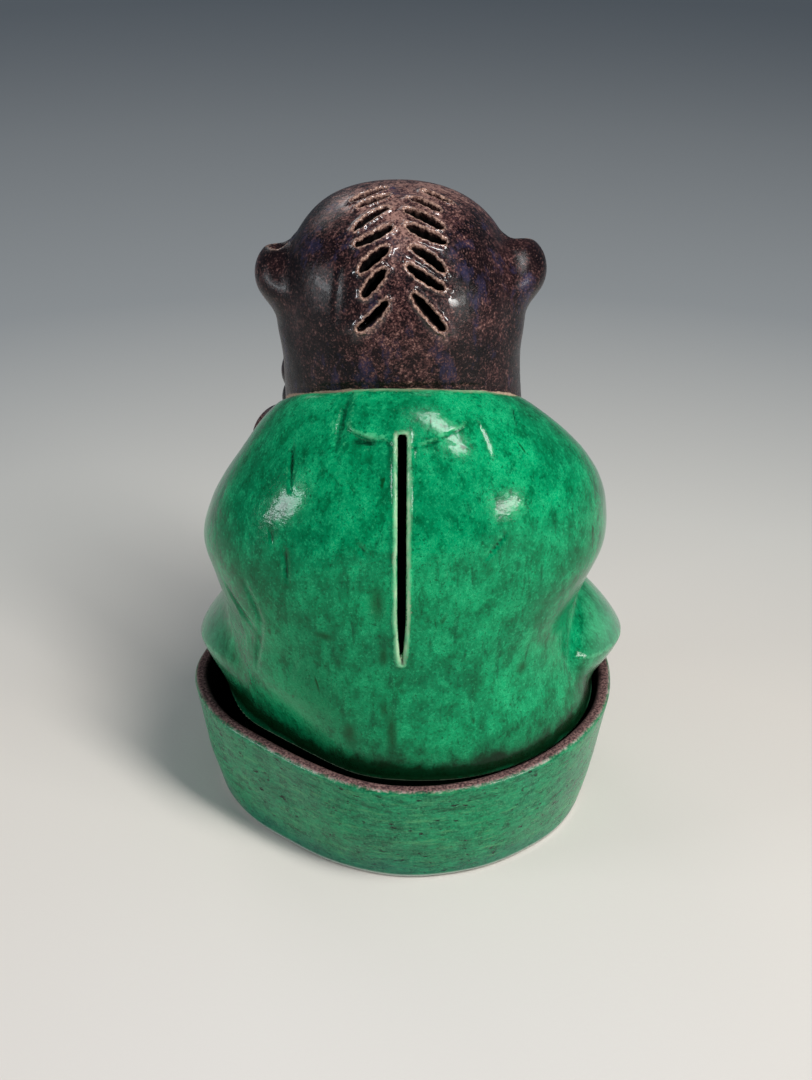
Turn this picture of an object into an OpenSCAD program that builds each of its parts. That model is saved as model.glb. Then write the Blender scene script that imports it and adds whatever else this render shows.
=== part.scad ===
// Two-piece glazed pottery censer: a hollow seated foo dog that sits in a shallow dish.
// Millimetres. +Z is up and the dog faces -Y. The origin is the middle of the dish's foot.
// The dog's left side is +X. Smoke from the dish leaves by the slots in its head and back.

/* [Dish] */
// Height of the dish, from its foot to its rim
dish_h = 36.5; // [30:0.5:42]
// Outside radius of the dish at its rim
rim_r = 61.4; // [60:0.2:70]
// Outside radius of the dish where it stands
foot_r = 54.4; // [52:0.2:60]
// Thickness of the dish's wall
dish_wall = 4; // [3:0.25:4.5]
// Thickness of the dish's floor
dish_floor = 5; // [4:0.5:8]
// How far the hand-pressed wall is flattened at one side
dish_flat = 5.6; // [0:0.2:6]
// Direction of the flattened side, from +X towards +Y
dish_flat_dir = 50; // [0:5:355]
// Gap left between the dish's rim and what hangs over it
rim_gap = 0.6; // [0.3:0.1:2]

/* [Body] */
// Gap between the body's foot ring and the dish's wall, on the dish's floor
ring_gap = 3.9; // [3:0.1:8]
// Gap between the body and the dish's rim, at each side
side_gap = 3.4; // [2.5:0.1:8]
// Gap between the body and the dish's rim, at the back
back_gap = 2.4; // [2:0.1:8]
// Gap between the body and the dish's rim, in front
front_gap = 14.4; // [10:0.2:18]
// Height of the waist above the dish's rim
waist_up = 28.5; // [22:0.5:34]
// Half-width of the waist
waist_w = 50.6; // [46:0.2:54]
// Height of the widest part of the shoulders above the waist
shoulder_up = 20; // [15:1:26]
// Half-width of the shoulders
shoulder_w = 57.8; // [54:0.2:62]
// Depth of the rounded back, behind the axis
back_d = 57.5; // [54:0.5:62]
// Depth of the chest, in front of the axis
chest_d = 46; // [42:0.5:50]
// Thickness of the body's wall
body_wall = 5; // [3.5:0.25:6]
// How far the figure leans to the dog's left at the crown
lean = 2.6; // [0:0.1:4]

/* [Neck and head] */
// Height of the neckline above the shoulders, on the axis
neck_up = 41; // [36:1:48]
// Half-width of the neck at the neckline
neck_w = 33; // [29:0.5:36]
// Slope of the neckline, down from the nape to the throat, in degrees
neck_slope = 31; // [20:1:36]
// How far the robe's edge stands out from the neck
robe_edge = 1; // [0.5:0.1:2]
// Height of the tab pressed on the robe below the nape
tab_h = 6.6; // [5:0.2:12]
// Half-width of the robe's tab
tab_w = 19.5; // [14:0.5:24]
// Height of the temples above the neckline, where the crown begins to round over
temple_up = 31; // [26:1:38]
// Half-width of the head at the temples
head_w = 32.6; // [29:0.2:36]
// Height of the crown above the temples
crown_up = 31; // [26:0.5:38]
// Thickness of the head's wall
head_wall = 4.5; // [3.5:0.25:6]

/* [Smoke slots] */
// Rows of slots in the head, one slot on each side of the rib in each row
slot_rows = 7; // [4:1:8]
// Width of every slot
slot_w = 2.4; // [1.6:0.1:3]
// Length of a slot in the head
slot_l = 11; // [8:0.5:13]
// Half-width of the plain rib between the two columns of slots
rib_w = 2; // [1:0.5:4]
// Length of the back slot, down from the robe's tab
back_slot_l = 59; // [40:1:68]
// Clay left between the back slot and the robe's tab
slot_tab_gap = 1; // [0.5:0.25:4]

/* [Ears] */
// Height of the middle of the ears above the temples
ear_up = 7; // [3:0.5:10]
// Half of an ear's height
ear_r = 8; // [6:0.5:10]
// How far the ears stand out from the head
ear_proud = 6.9; // [5:0.1:10]

/* [Face] */
// Half-width of the muzzle
muzzle_w = 23; // [18:0.5:26]
// Height of the muzzle, from the upper lip to the bridge
muzzle_h = 19; // [15:0.5:22]
// How far the muzzle stands out in front of the head
muzzle_proud = 17.4; // [13:0.2:21]
// Radius of the nose's lobes
nose_r = 5; // [4:0.25:6]
// Height of the middle of the open mouth above the neckline
mouth_up = 3; // [1:0.5:6]
// Opening between the lips
mouth_gap = 8; // [5:0.5:10]
// Depth of the lower jaw, from lip to chin
jaw_h = 12; // [9:0.5:15]
// Radius of a tooth at the gum
tooth_r = 1.5; // [1.2:0.1:1.7]
// Radius of an eyeball
eye_r = 7.5; // [6:0.25:9]
// Distance of each eye from the middle
eye_x = 14; // [11:0.5:16]

/* [Mane] */
// Radius of a curl of the mane
curl_r = 9; // [8:0.25:10]

/* [Legs] */
// Radius of a foreleg at the shoulder
leg_r = 15; // [11:0.5:17]
// Distance of each foreleg from the middle, at the paw
leg_x = 20; // [17:0.5:23]
// Radius of a forepaw
paw_r = 9.5; // [7:0.5:11]
// How far a haunch stands out from the robe
haunch_proud = 8.6; // [6:0.1:12]
// Half-thickness of a haunch
haunch_w = 17; // [14:0.5:20]
// Half-length of a haunch, front to back
haunch_l = 29; // [22:0.5:34]
// Half-height of a haunch
haunch_h = 12; // [9:0.5:14]
// Height of the middle of the haunches above what they hang over
haunch_up = 9.9; // [7:0.1:14]

/* [Hidden] */

green = [0.06, 0.52, 0.33];
aubergine = [0.2, 0.11, 0.14];
cream = [0.86, 0.79, 0.62];
iron_red = [0.5, 0.2, 0.15];

sides = 52;                     // facets around the moulded shells
bead = 14;                      // facets around a small lump
roundness = 2.15;               // 2 is an ellipse, more is squarer
crown_roundness = 2.25;
shoulder_fall = 0.95;           // how quickly the shoulders fall away to the neck
nape_share = 0.92;              // the head's depth behind its axis for its half-width
flat_spread = 23;               // degrees to each side that the flattening spreads
rim_round = 1;                  // the dish's rim and foot are rounded by hand
floor_round = 1.5;              // and so is the corner inside, round its floor
seam = 0.4;                     // bare clay left between the robe's tab and the neck
big = 3 * rim_r;                // larger than the dog, for flat cuts

// Heights, each stacked on the one below
over_rim_z = dish_h + rim_gap;  // lowest height of what hangs over the rim
waist_z = dish_h + waist_up;
shoulder_z = waist_z + shoulder_up;
neck_z = shoulder_z + neck_up;
nape_z = mix(shoulder_z, neck_z, 0.61);
temple_z = neck_z + temple_up;
crown_z = temple_z + crown_up;
tilt_start_z = mix(dish_h, waist_z, 0.75);  // below this the body's sections are level
neck_tilt = tan(neck_slope);

// Sideways wander of the potter's hand, as [height, share of the lean at the crown]
wander = [for (s = [[dish_floor, -0.54], [dish_h, -0.54], [waist_z, 0.62], [shoulder_z, 0.19],
                    [nape_z, -0.69], [neck_z, 0.23], [temple_z, 0.46], [crown_z, 1]])
    [s[0], s[1] * lean]];

// ---- Curves ---------------------------------------------------------------------------

function mix(a, b, t) = a + (b - a) * t;

// Slope of the smooth curve at station i of a list of [height, value] stations
function slope_at(st, i) =
    let (a = st[max(i - 1, 0)], b = st[min(i + 1, len(st) - 1)])
    (b[1] - a[1]) / (b[0] - a[0]);

// Value at height z of the smooth curve through the stations
function through(st, z, i = 0) =
    i < len(st) - 2 && z > st[i + 1][0] ? through(st, z, i + 1)
    : let (a = st[i], b = st[i + 1], h = b[0] - a[0], t = (z - a[0]) / h)
      (1 + 2 * t) * (1 - t) ^ 2 * a[1] + t ^ 2 * (3 - 2 * t) * b[1]
      + h * (t * (1 - t) ^ 2 * slope_at(st, i) - t ^ 2 * (1 - t) * slope_at(st, i + 1));

// How much of a dent is felt at angle a, for one in direction dir that is spread wide to each side
function dent(a, dir, spread) = exp(-(((a - dir + 540) % 360 - 180) / spread) ^ 2);

// One section: half-width w, depth b behind and f in front, on a plane that rises to the back,
// pressed in by a depth on the side where the dish is flat
function ring(z, w, b, f, tilt, press = 0) = [
    for (i = [0:sides - 1])
        let (a = 360 * i / sides, c = cos(a), s = sin(a),
             keep = 1 - press / w * dent(a, dish_flat_dir, flat_spread),
             x = keep * w * sign(c) * pow(abs(c), 2 / roundness),
             y = keep * (s > 0 ? b : f) * sign(s) * pow(abs(s), 2 / roundness))
        [x + through(wander, z), y, z + tilt * y]
];

// A closed skin through rings of points. As a loop it joins the last ring to the first
module skin(rings, loop = false) {
    n = len(rings[0]);
    last = len(rings) - 1;
    polyhedron(
        points = [for (r = rings) for (p = r) p],
        faces = concat(
            [for (k = [0:loop ? last : last - 1]) for (i = [0:n - 1]) for (half = [0, 1])
                let (a = k * n + i, b = k * n + (i + 1) % n,
                     up = (k + 1) % (last + 1) * n, c = up + i, d = up + (i + 1) % n)
                half == 0 ? [a, c, d] : [a, d, b]],
            loop ? [] : [[for (i = [0:n - 1]) i], [for (i = [n - 1:-1:0]) last * n + i]]),
        convexity = 8);
}

// ---- How the pieces are made up ---------------------------------------------------------

// One piece of clay: its forms are worked together into a single skin at their own size
module clay(glaze) {
    color(glaze) resize([0, 0, 0]) union() children();
}

// Moves a form sideways with the body or head at its own height
module at_level(z) {
    translate([through(wander, z), 0, 0]) children();
}

// The form as made for the left side, or mirrored for the right
module sided(side) {
    mirror([side < 0 ? 1 : 0, 0, 0]) children();
}

// A rounded lump of clay with the given half-sizes
module lump(at, half, turn = 0, facets = bead) {
    translate(at) rotate(turn) scale(half) sphere(r = 1, $fn = facets);
}

// A limb or roll drawn out between round stops, each given as [place, radius]
module roll(stops) {
    for (i = [0:len(stops) - 2])
        hull() for (s = [stops[i], stops[i + 1]]) lump(s[0], [1, 1, 1] * s[1]);
}

// Everything above or below a height, for flat cuts
module above(z) { translate([-big / 2, -big / 2, z]) cube(big); }
module below(z) { translate([-big / 2, -big / 2, z - big]) cube(big); }

// ---- Dish -------------------------------------------------------------------------------

// The dish's plan: round, with one side flattened and a swell beside it
function dish_ring(z, r) = [
    for (i = [0:sides - 1])
        let (a = 360 * i / sides,
             q = r - dish_flat * dent(a, dish_flat_dir, flat_spread)
                 + dish_flat * 0.4 * dent(a, dish_flat_dir - 2 * flat_spread, 0.8 * flat_spread))
        [q * cos(a), q * sin(a), z]
];

module base_dish() {
    belly_z = dish_h * 0.45;
    belly_r = mix(foot_r, rim_r, 0.55);
    clay(green) skin([
        dish_ring(0, foot_r - rim_round), dish_ring(rim_round, foot_r), dish_ring(belly_z, belly_r),
        dish_ring(dish_h - rim_round, rim_r), dish_ring(dish_h - rim_round / 4, rim_r - rim_round / 3),
        dish_ring(dish_h, rim_r - rim_round),
        dish_ring(dish_h, rim_r - dish_wall + rim_round),
        dish_ring(dish_h - rim_round, rim_r - dish_wall),
        dish_ring(belly_z, belly_r - dish_wall),
        dish_ring(dish_floor + 1.3 * floor_round, foot_r - dish_wall + 0.2 * floor_round),
        dish_ring(dish_floor, foot_r - dish_wall - floor_round)
    ]);
}

// ---- Body -------------------------------------------------------------------------------

// Stations of one side of the body: foot ring, rim level, waist, fullest part, then the neck
function body_side(foot, seat, waist, full, full_z, neck) = concat(
    [[dish_floor, foot], [mix(dish_floor, dish_h, 0.5), mix(foot, seat, 0.65)], [dish_h, seat],
     [waist_z, waist], [mix(waist_z, full_z, 0.5), mix(waist, full, 0.5)], [full_z, full]],
    [for (t = [0.25, 0.45, 0.62, 0.76, 0.87, 0.95, 1])
        [mix(full_z, neck_z, t), neck + (full - neck) * (1 - t * t) ^ shoulder_fall]]);

// The body stands inside the dish, clear of its wall all round
ring_w = foot_r - dish_wall - floor_round - ring_gap;
seat_w = rim_r - dish_wall - side_gap;
seat_back = rim_r - dish_wall - back_gap;
seat_front = rim_r - dish_wall - front_gap;

collar_w = neck_w + robe_edge;
nape_d = neck_w * nape_share + robe_edge;
body_w = body_side(ring_w, seat_w, waist_w, shoulder_w, shoulder_z, collar_w);
body_b = body_side(ring_w, seat_back, mix(seat_back, back_d, 0.6), back_d,
    mix(waist_z, shoulder_z, 0.8), nape_d);
body_f = body_side(ring_w * 0.89, seat_front, mix(seat_front, chest_d, 0.5), chest_d,
    shoulder_z, nape_d);
body_levels = [for (t = [0, 0.06, 0.13, 0.2, 0.26, 0.33, 0.4, 0.46, 0.52, 0.58, 0.64, 0.7, 0.76,
    0.82, 0.87, 0.91, 0.95, 0.98, 1]) mix(dish_floor, neck_z, t)];

function body_tilt(z) = neck_tilt * max(0, z - tilt_start_z) / (neck_z - tilt_start_z);

// The body is pressed flat with the dish, fully at the rim and below, and not at all at the waist
function body_press(z) =
    let (rise = min(1, max(0, z - dish_h) / (waist_z - dish_h)))
    dish_flat * (0.5 + 0.5 * cos(180 * rise));

function body_ring(z, grow = 0) =
    ring(z, through(body_w, z) + grow, through(body_b, z) + grow, through(body_f, z) + grow,
        body_tilt(z), body_press(z));

// The body without its hollow, which the pieces luted to it are cut to fit
module body_form(grow = 0) {
    skin([for (z = body_levels) body_ring(z, grow)]);
}

// The tab runs down from the nape, and the back slot starts below it
tab_top = neck_z + neck_tilt * nape_d;
tab_bottom = tab_top - tab_h;
back_slot_top = tab_bottom - slot_tab_gap - slot_w / 2;

module body_shell() {
    outside = [for (z = body_levels) body_ring(z)];
    inside = [for (i = [len(body_levels) - 1:-2:0]) body_ring(body_levels[i], -body_wall)];
    clay(green) difference() {
        skin(concat(outside, inside), loop = true);
        hull() for (z = [back_slot_top - back_slot_l, back_slot_top])
            at_level(z) translate([0, nape_d / 2, z]) rotate([-90, 0, 0])
                cylinder(d = slot_w, h = back_d, $fn = 16);
    }
}

// Everything below the seam between the robe and the neck, which slopes with the neckline
module below_neckline() {
    multmatrix([[1, 0, 0, 0], [0, 1, 0, 0], [0, neck_tilt, 1, 0]]) below(neck_z - seam);
}

// Raised tab of the robe, pressed on below the nape and above the back slot
module collar_tab() {
    clay(green) difference() {
        intersection() {
            body_form(robe_edge);
            below_neckline();
            at_level(nape_z) translate([0, nape_d / 2, 0]) rotate([90, 0, 180])
                linear_extrude(back_d) polygon([[-tab_w, tab_bottom], [tab_w, tab_bottom],
                    [tab_w * 0.85, tab_top + tab_h], [-tab_w * 0.85, tab_top + tab_h]]);
        }
        body_form();
    }
}

// ---- Head -------------------------------------------------------------------------------

// Sections of the head as [height, half-width, angle round the crown]
head_sections = concat(
    [for (t = [0, 0.2, 0.4, 0.6, 0.8]) [mix(neck_z, temple_z, t), mix(neck_w, head_w, t), 0]],
    [for (a = [0, 12, 24, 36, 47, 57, 66, 74, 81, 87])
        [mix(temple_z, crown_z, pow(sin(a), 2 / crown_roundness)),
         head_w * pow(cos(a), 2 / crown_roundness), a]]);

function head_tilt(z) = neck_tilt * max(0, temple_z - z) / (temple_z - neck_z);

function head_ring(s, shrink = 0) =
    let (w = max(s[1] - shrink, 1.2), z = s[0] - shrink * sin(s[2]),
         brow_share = mix(nape_share, 1, min(1, 2 * (s[0] - neck_z) / (crown_z - neck_z))))
    ring(z, w, w * nape_share, w * brow_share, head_tilt(s[0]));

module head_form() {
    skin([for (s = head_sections) head_ring(s)]);
}

// The slots climb over the back of the head in rows, each slanting down from the rib
module head_slots() {
    for (row = [0:slot_rows - 1], side = [-1, 1])
        at_level(temple_z) translate([0, 0, temple_z - head_w * 0.06])
            rotate([mix(11, 84, row / (slot_rows - 1)), 0, 0])
                translate([side * (rib_w + slot_l * 0.45), head_w * 0.55, 0])
                    rotate([0, side * mix(46, 24, row / (slot_rows - 1)), 0])
                        hull() for (end = [-0.5, 0.5])
                            translate([end * (slot_l - slot_w), 0, 0]) rotate([-90, 0, 0])
                                cylinder(d = slot_w, h = head_w, $fn = 12);
}

module head_shell() {
    outside = [for (s = head_sections) head_ring(s)];
    inside = [for (i = [len(head_sections) - 1:-2:0]) head_ring(head_sections[i], head_wall)];
    clay(aubergine) difference() {
        skin(concat(inside, outside));
        head_slots();
    }
}

// Rounded ear pressed on at the temple, cupped in front, with a root that runs down the neck
module ear(side) {
    ear_z = temple_z + ear_up;
    clay(aubergine) difference() {
        at_level(ear_z) sided(side) difference() {
            hull() {
                lump([head_w + ear_proud - ear_r * 0.75, -ear_r / 4, ear_z],
                    [0.75, 1, 1] * ear_r, facets = 20);
                lump([head_w - ear_r / 4, -ear_r / 4, ear_z - 2.2 * ear_r], [0.25, 0.5, 0.62] * ear_r);
            }
            lump([head_w + ear_proud + ear_r / 8, -ear_r * 0.75, ear_z + ear_r / 8],
                [0.5, 0.6, 0.55] * ear_r, [0, 0, 20]);
        }
        head_form();
    }
}
module ear_left() { ear(1); }
module ear_right() { ear(-1); }

// ---- Face -------------------------------------------------------------------------------

face_y = -head_w;                           // front of the head, where the face is luted on
lip_z = neck_z + mouth_up + mouth_gap / 2;  // edge of the upper lip
chin_z = lip_z - mouth_gap;                 // edge of the lower lip
muzzle_reach = head_w + muzzle_proud;
jaw_w = muzzle_w * 0.826;                   // the jaw is narrower and shorter than the muzzle
jaw_reach = muzzle_reach * 0.9;
nose_z = lip_z + muzzle_h * 0.79;
eye_z = lip_z + muzzle_h + eye_r * 0.6;
brow_z = eye_z + eye_r * 1.4;

module muzzle_form() {
    hull() {
        lump([0, face_y + muzzle_w * 0.26, lip_z + muzzle_h * 0.45],
            [muzzle_w, muzzle_w * 0.435, muzzle_h * 0.55], facets = 24);
        for (side = [-1, 1])
            lump([side * muzzle_w * 0.5, -muzzle_reach + muzzle_w * 0.39, lip_z + muzzle_h * 0.35],
                [muzzle_w * 0.45, muzzle_w * 0.39, muzzle_h * 0.42], facets = 20);
    }
}

// Broad snout with the upper lip, luted on the front of the head
module muzzle() {
    clay(aubergine) difference() {
        at_level(lip_z) difference() {
            muzzle_form();
            below(lip_z);
            nose_form();
        }
        head_form();
    }
}

// A lump of the nose, placed from the tip of the muzzle in radii of the nose's lobes
module nose_lump(at, half, facets = bead) {
    lump([0, -muzzle_reach, nose_z] + at * nose_r, half * nose_r, facets = facets);
}

module nose_form() {
    hull() for (side = [-1, 1]) nose_lump([side * 1.1, 0.3, -0.2], [1, 1, 0.84]);
    hull() {
        nose_lump([0, 0.1, 0], [1, 0.9, 1]);
        lump([0, face_y, nose_z + nose_r * 1.4], [0.9, 0.8, 0.8] * nose_r);
    }
}

// Wide nose with two nostrils and a bridge running up between the eyes
module nose() {
    clay(aubergine) difference() {
        at_level(lip_z) difference() {
            nose_form();
            for (side = [-1, 1]) nose_lump([side * 1.1, -0.7, -0.4], [0.4, 0.52, 0.32], 12);
        }
        head_form();
    }
}

module jaw_form() {
    hull() {
        lump([0, face_y + jaw_w * 0.37, chin_z - jaw_h * 0.35],
            [jaw_w, jaw_w * 0.53, jaw_h * 0.65], facets = 20);
        lump([0, -jaw_reach + jaw_w * 0.47, chin_z - jaw_h * 0.2],
            [jaw_w * 0.8, jaw_w * 0.47, jaw_h * 0.55], facets = 20);
    }
}

// Lower jaw, luted under the open mouth
module lower_jaw() {
    clay(aubergine) difference() {
        at_level(lip_z) difference() {
            jaw_form();
            above(chin_z);
        }
        head_form();
        body_form();
    }
}

// Tongue lying on the lower jaw
module tongue() {
    clay(iron_red) difference() {
        at_level(lip_z) difference() {
            hull() {
                lump([0, face_y, chin_z], [0.47, 0.26, 0.18] * jaw_w);
                lump([0, -jaw_reach + jaw_w * 0.21, chin_z], [0.37, 0.24, 0.16] * jaw_w);
            }
            below(chin_z);
        }
        head_form();
    }
}

// Fangs standing in the corners of the mouth, and a row of teeth under the upper lip
module teeth() {
    tooth_h = 2 * tooth_r;
    clay(cream) at_level(lip_z) {
        for (side = [-1, 1]) translate([side * jaw_w * 0.68, jaw_w * 0.42 - jaw_reach, chin_z])
            cylinder(r1 = tooth_r * 1.07, r2 = tooth_r * 1.6, h = mouth_gap, $fn = 14);
        for (k = [-3:3])
            translate([k * tooth_h, jaw_w * (0.13 + 0.0185 * k * k) - jaw_reach, lip_z - tooth_h])
                cylinder(r1 = tooth_r * 0.73, r2 = tooth_r, h = tooth_h, $fn = 14);
    }
}

module eye_form() {
    lump([eye_x, face_y + eye_r * 0.27, eye_z], [1, 1, 1] * eye_r, facets = 20);
}

// Round eyeball set between the muzzle and the brow
module eye(side) {
    clay(cream) difference() {
        at_level(lip_z) difference() {
            sided(side) eye_form();
            muzzle_form();
            nose_form();
        }
        head_form();
    }
}
module eye_left() { eye(1); }
module eye_right() { eye(-1); }

// Stops of a brow, from the nose out to the cheek, in eyeball radii from above the eye
brow_stops = [[[-1.25, -0.13, -0.53], 0.56], [[-0.27, -0.2, 0], 0.64],
              [[0.8, 0.47, -0.27], 0.64], [[1.33, 1.2, -1.2], 0.53]];

// Heavy brow rolled out of clay and laid over the eye
module brow(side) {
    clay(aubergine) difference() {
        at_level(lip_z) difference() {
            sided(side) roll([for (s = brow_stops)
                [[eye_x, face_y, brow_z] + s[0] * eye_r, s[1] * eye_r]]);
            sided(side) eye_form();
            nose_form();
        }
        head_form();
        mane_form(side);
    }
}
module brow_left() { brow(1); }
module brow_right() { brow(-1); }

// ---- Mane -------------------------------------------------------------------------------

// Curls of the mane, from the cheek down to the shoulder, and of the beard. Each is placed in
// half-widths of the head sideways and forwards, and in curl radii above the neckline
mane_curls = [[0.72, -0.645, 2.44, 0.89], [0.735, -0.705, 1, 0.95], [0.765, -0.83, -0.33, 1],
              [0.765, -1.04, -1.67, 1.05], [1.01, -0.92, -3, 1.17]];
beard_curls = [[-0.37, -1.165, -2.1, 1], [0.37, -1.165, -2.1, 1], [0, -1.29, -2.45, 1.05],
               [-0.28, -1.29, -3.33, 0.95], [0.28, -1.29, -3.33, 0.95], [0, -1.38, -4.2, 0.95]];

module curls(list, turn = 0) {
    for (c = list)
        lump([c[0] * head_w, c[1] * head_w, neck_z + c[2] * curl_r],
            [1, 0.8, 1] * c[3] * curl_r, [0, 0, turn]);
}

module mane_form(side) {
    at_level(neck_z) sided(side) curls(mane_curls, 35);
}

module mane(side) {
    clay(aubergine) difference() {
        mane_form(side);
        head_form();
        body_form();
        at_level(lip_z) {
            jaw_form();
            muzzle_form();
        }
    }
}
module mane_left() { mane(1); }
module mane_right() { mane(-1); }

// Curled beard that hangs from the jaw over the chest
module beard() {
    clay(aubergine) difference() {
        at_level(lip_z) difference() {
            curls(beard_curls);
            jaw_form();
        }
        head_form();
        body_form();
        for (side = [-1, 1]) mane_form(side);
    }
}

// ---- Legs -------------------------------------------------------------------------------

// A stop of a foreleg at height z, out from the paw's line and back in the body's front by shares
function leg_stop(out, front, z, thick) =
    [[leg_x + out * leg_r, -front * through(body_f, z), z], thick * leg_r];

module foreleg_form() {
    roll([leg_stop(0.73, 0.52, shoulder_z, 1),
        leg_stop(0.47, 0.78, mix(over_rim_z, shoulder_z, 0.54), 0.73),
        leg_stop(0, 0.986, over_rim_z + leg_r * 0.73, 0.6)]);
}

// Straight foreleg, luted down the front of the body
module foreleg(side) {
    clay(green) difference() {
        at_level(waist_z) sided(side) foreleg_form();
        body_form();
        mane_form(side);
        beard_form();
    }
}
module beard_form() { at_level(lip_z) curls(beard_curls); }
module foreleg_left() { foreleg(1); }
module foreleg_right() { foreleg(-1); }

// A paw's ball and three toes, flat where it hangs over the dish's rim
module paw(at, r, turn) {
    difference() {
        translate(at) rotate([0, 0, turn]) {
            lump([0, r * 0.21, 0], [1, 1, 0.85] * r, facets = 20);
            for (k = [-1:1])
                lump([k * 0.6, abs(k) * 0.1 - 0.65, -0.15] * r, [0.42, 0.5, 0.5] * r, facets = 12);
        }
        below(over_rim_z);
    }
}
module forepaw_form() {
    paw([leg_x, -seat_front - paw_r * 0.68, over_rim_z + paw_r * 0.42], paw_r, 0);
}
module hind_paw_form() {
    paw([seat_w * 0.74, -seat_front * 0.86, over_rim_z + paw_r * 0.37], paw_r * 0.84, 35);
}

module forepaw(side) {
    clay(green) difference() {
        at_level(dish_h) sided(side) forepaw_form();
        at_level(waist_z) sided(side) foreleg_form();
        body_form();
    }
}
module forepaw_left() { forepaw(1); }
module forepaw_right() { forepaw(-1); }

module haunch_form() {
    haunch_z = over_rim_z + haunch_up;
    haunch_x = through(body_w, haunch_z) + haunch_proud - haunch_w;
    difference() {
        lump([haunch_x, -haunch_l * 0.28, haunch_z], [haunch_w, haunch_l, haunch_h], [10, 0, 0], 24);
        below(over_rim_z);
    }
}

// Folded thigh that stands out from the body at each side
module haunch(side) {
    clay(green) difference() {
        at_level(dish_h) sided(side) haunch_form();
        body_form();
        at_level(waist_z) sided(side) foreleg_form();
    }
}
module haunch_left() { haunch(1); }
module haunch_right() { haunch(-1); }

module hind_paw(side) {
    clay(green) difference() {
        at_level(dish_h) sided(side) difference() {
            hind_paw_form();
            haunch_form();
            forepaw_form();
        }
        at_level(waist_z) sided(side) foreleg_form();
        body_form();
    }
}
module hind_paw_left() { hind_paw(1); }
module hind_paw_right() { hind_paw(-1); }

base_dish();
body_shell();
head_shell();
collar_tab();
ear_left();
ear_right();
muzzle();
nose();
lower_jaw();
tongue();
teeth();
eye_left();
eye_right();
brow_left();
brow_right();
mane_left();
mane_right();
beard();
foreleg_left();
foreleg_right();
forepaw_left();
forepaw_right();
haunch_left();
haunch_right();
hind_paw_left();
hind_paw_right();
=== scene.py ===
# A two-piece pottery censer: a hollow seated foo dog that sits in a shallow dish. It is followed
# here as the potter puts it together: the dish, the robed body, the legs, the head, the face and
# the mane. Forms are worked out in millimetres, and every finished piece is in metres.
import functools
import math

import bpy
import numpy as np
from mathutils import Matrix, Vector


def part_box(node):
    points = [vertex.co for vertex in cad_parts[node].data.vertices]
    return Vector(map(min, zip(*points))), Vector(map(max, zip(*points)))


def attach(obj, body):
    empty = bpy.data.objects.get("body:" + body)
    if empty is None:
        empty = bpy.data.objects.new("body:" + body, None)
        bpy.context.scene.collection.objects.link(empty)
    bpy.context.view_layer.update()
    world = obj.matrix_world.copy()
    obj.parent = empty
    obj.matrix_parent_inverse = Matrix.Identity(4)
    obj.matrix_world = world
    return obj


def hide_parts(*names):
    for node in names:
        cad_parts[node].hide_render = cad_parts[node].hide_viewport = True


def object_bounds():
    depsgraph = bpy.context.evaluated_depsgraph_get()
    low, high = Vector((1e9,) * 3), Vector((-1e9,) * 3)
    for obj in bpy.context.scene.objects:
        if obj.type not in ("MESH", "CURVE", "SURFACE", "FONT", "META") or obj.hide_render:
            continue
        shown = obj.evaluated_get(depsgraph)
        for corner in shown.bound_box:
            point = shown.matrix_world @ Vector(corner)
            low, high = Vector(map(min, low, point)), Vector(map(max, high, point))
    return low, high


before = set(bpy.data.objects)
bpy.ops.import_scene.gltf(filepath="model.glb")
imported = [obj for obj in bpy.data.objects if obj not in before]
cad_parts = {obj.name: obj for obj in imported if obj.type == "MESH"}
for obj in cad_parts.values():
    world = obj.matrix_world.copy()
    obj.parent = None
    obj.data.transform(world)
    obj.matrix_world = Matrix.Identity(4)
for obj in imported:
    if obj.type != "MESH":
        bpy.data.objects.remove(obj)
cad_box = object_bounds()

# ---- The bench and its light -------------------------------------------------------------------
# The censer stands on a plain pale sheet that fades to grey away from it, with a pool of light painted
# on it round the censer. A soft lamp hangs over the dog's back, two windows to the sides leave their
# shine on it, and a weak lamp lights its face.

mm = 0.001
scene = bpy.context.scene
scene.view_settings.view_transform = "Standard"


def srgb(red, green, blue):
    """A colour read as 0 to 255 on a screen, as the linear colour that a shader takes"""
    share = np.array([red, green, blue]) / 255
    linear = np.where(share <= 0.04045, share / 12.92, ((share + 0.055) / 1.055) ** 2.4)
    return (*linear, 1.0)


def connect(target, inputs):
    """Sets a node's inputs to values, or links them to sockets of the same tree"""
    for name, value in dict(inputs).items():
        if isinstance(value, bpy.types.NodeSocket):
            target.id_data.links.new(value, target.inputs[name])
        else:
            target.inputs[name].default_value = value


def node(tree, kind, inputs=(), **settings):
    """A shader node with its settings, and its inputs set to values or linked to sockets"""
    made = tree.nodes.new("ShaderNode" + kind)
    for name, value in settings.items():
        setattr(made, name, value)
    connect(made, inputs)
    return made


def grey(value):
    """A plain number as a grey. Colours and sockets stay as they are"""
    return (value, value, value, 1) if isinstance(value, (int, float)) else value


def ramp(factor, *stops):
    """A colour ramp over (place, colour) stops; a plain number stands for a grey"""
    made = node(factor.id_data, "ValToRGB", {"Fac": factor})
    elements = made.color_ramp.elements
    while len(elements) < len(stops):
        elements.new(0.5)
    for element, (place, colour) in zip(elements, stops):
        element.position = place
        element.color = grey(colour)
    return made.outputs["Color"]


def mixed(factor, low, high):
    """One colour turning into another as a factor goes from 0 to 1"""
    colours = {"Fac": factor, "Color1": grey(low), "Color2": grey(high)}
    return node(factor.id_data, "MixRGB", colours).outputs["Color"]


def between(value, low, high):
    """How far a value has come from low to high, from 0 to 1"""
    reach = {"Value": value, "From Min": low, "From Max": high}
    return node(value.id_data, "MapRange", reach).outputs["Result"]


def new_material(name):
    """A material with nodes, its tree, and its shader"""
    material = bpy.data.materials.new(name)
    material.use_nodes = True
    tree = material.node_tree
    return material, tree, tree.nodes["Principled BSDF"]


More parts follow.
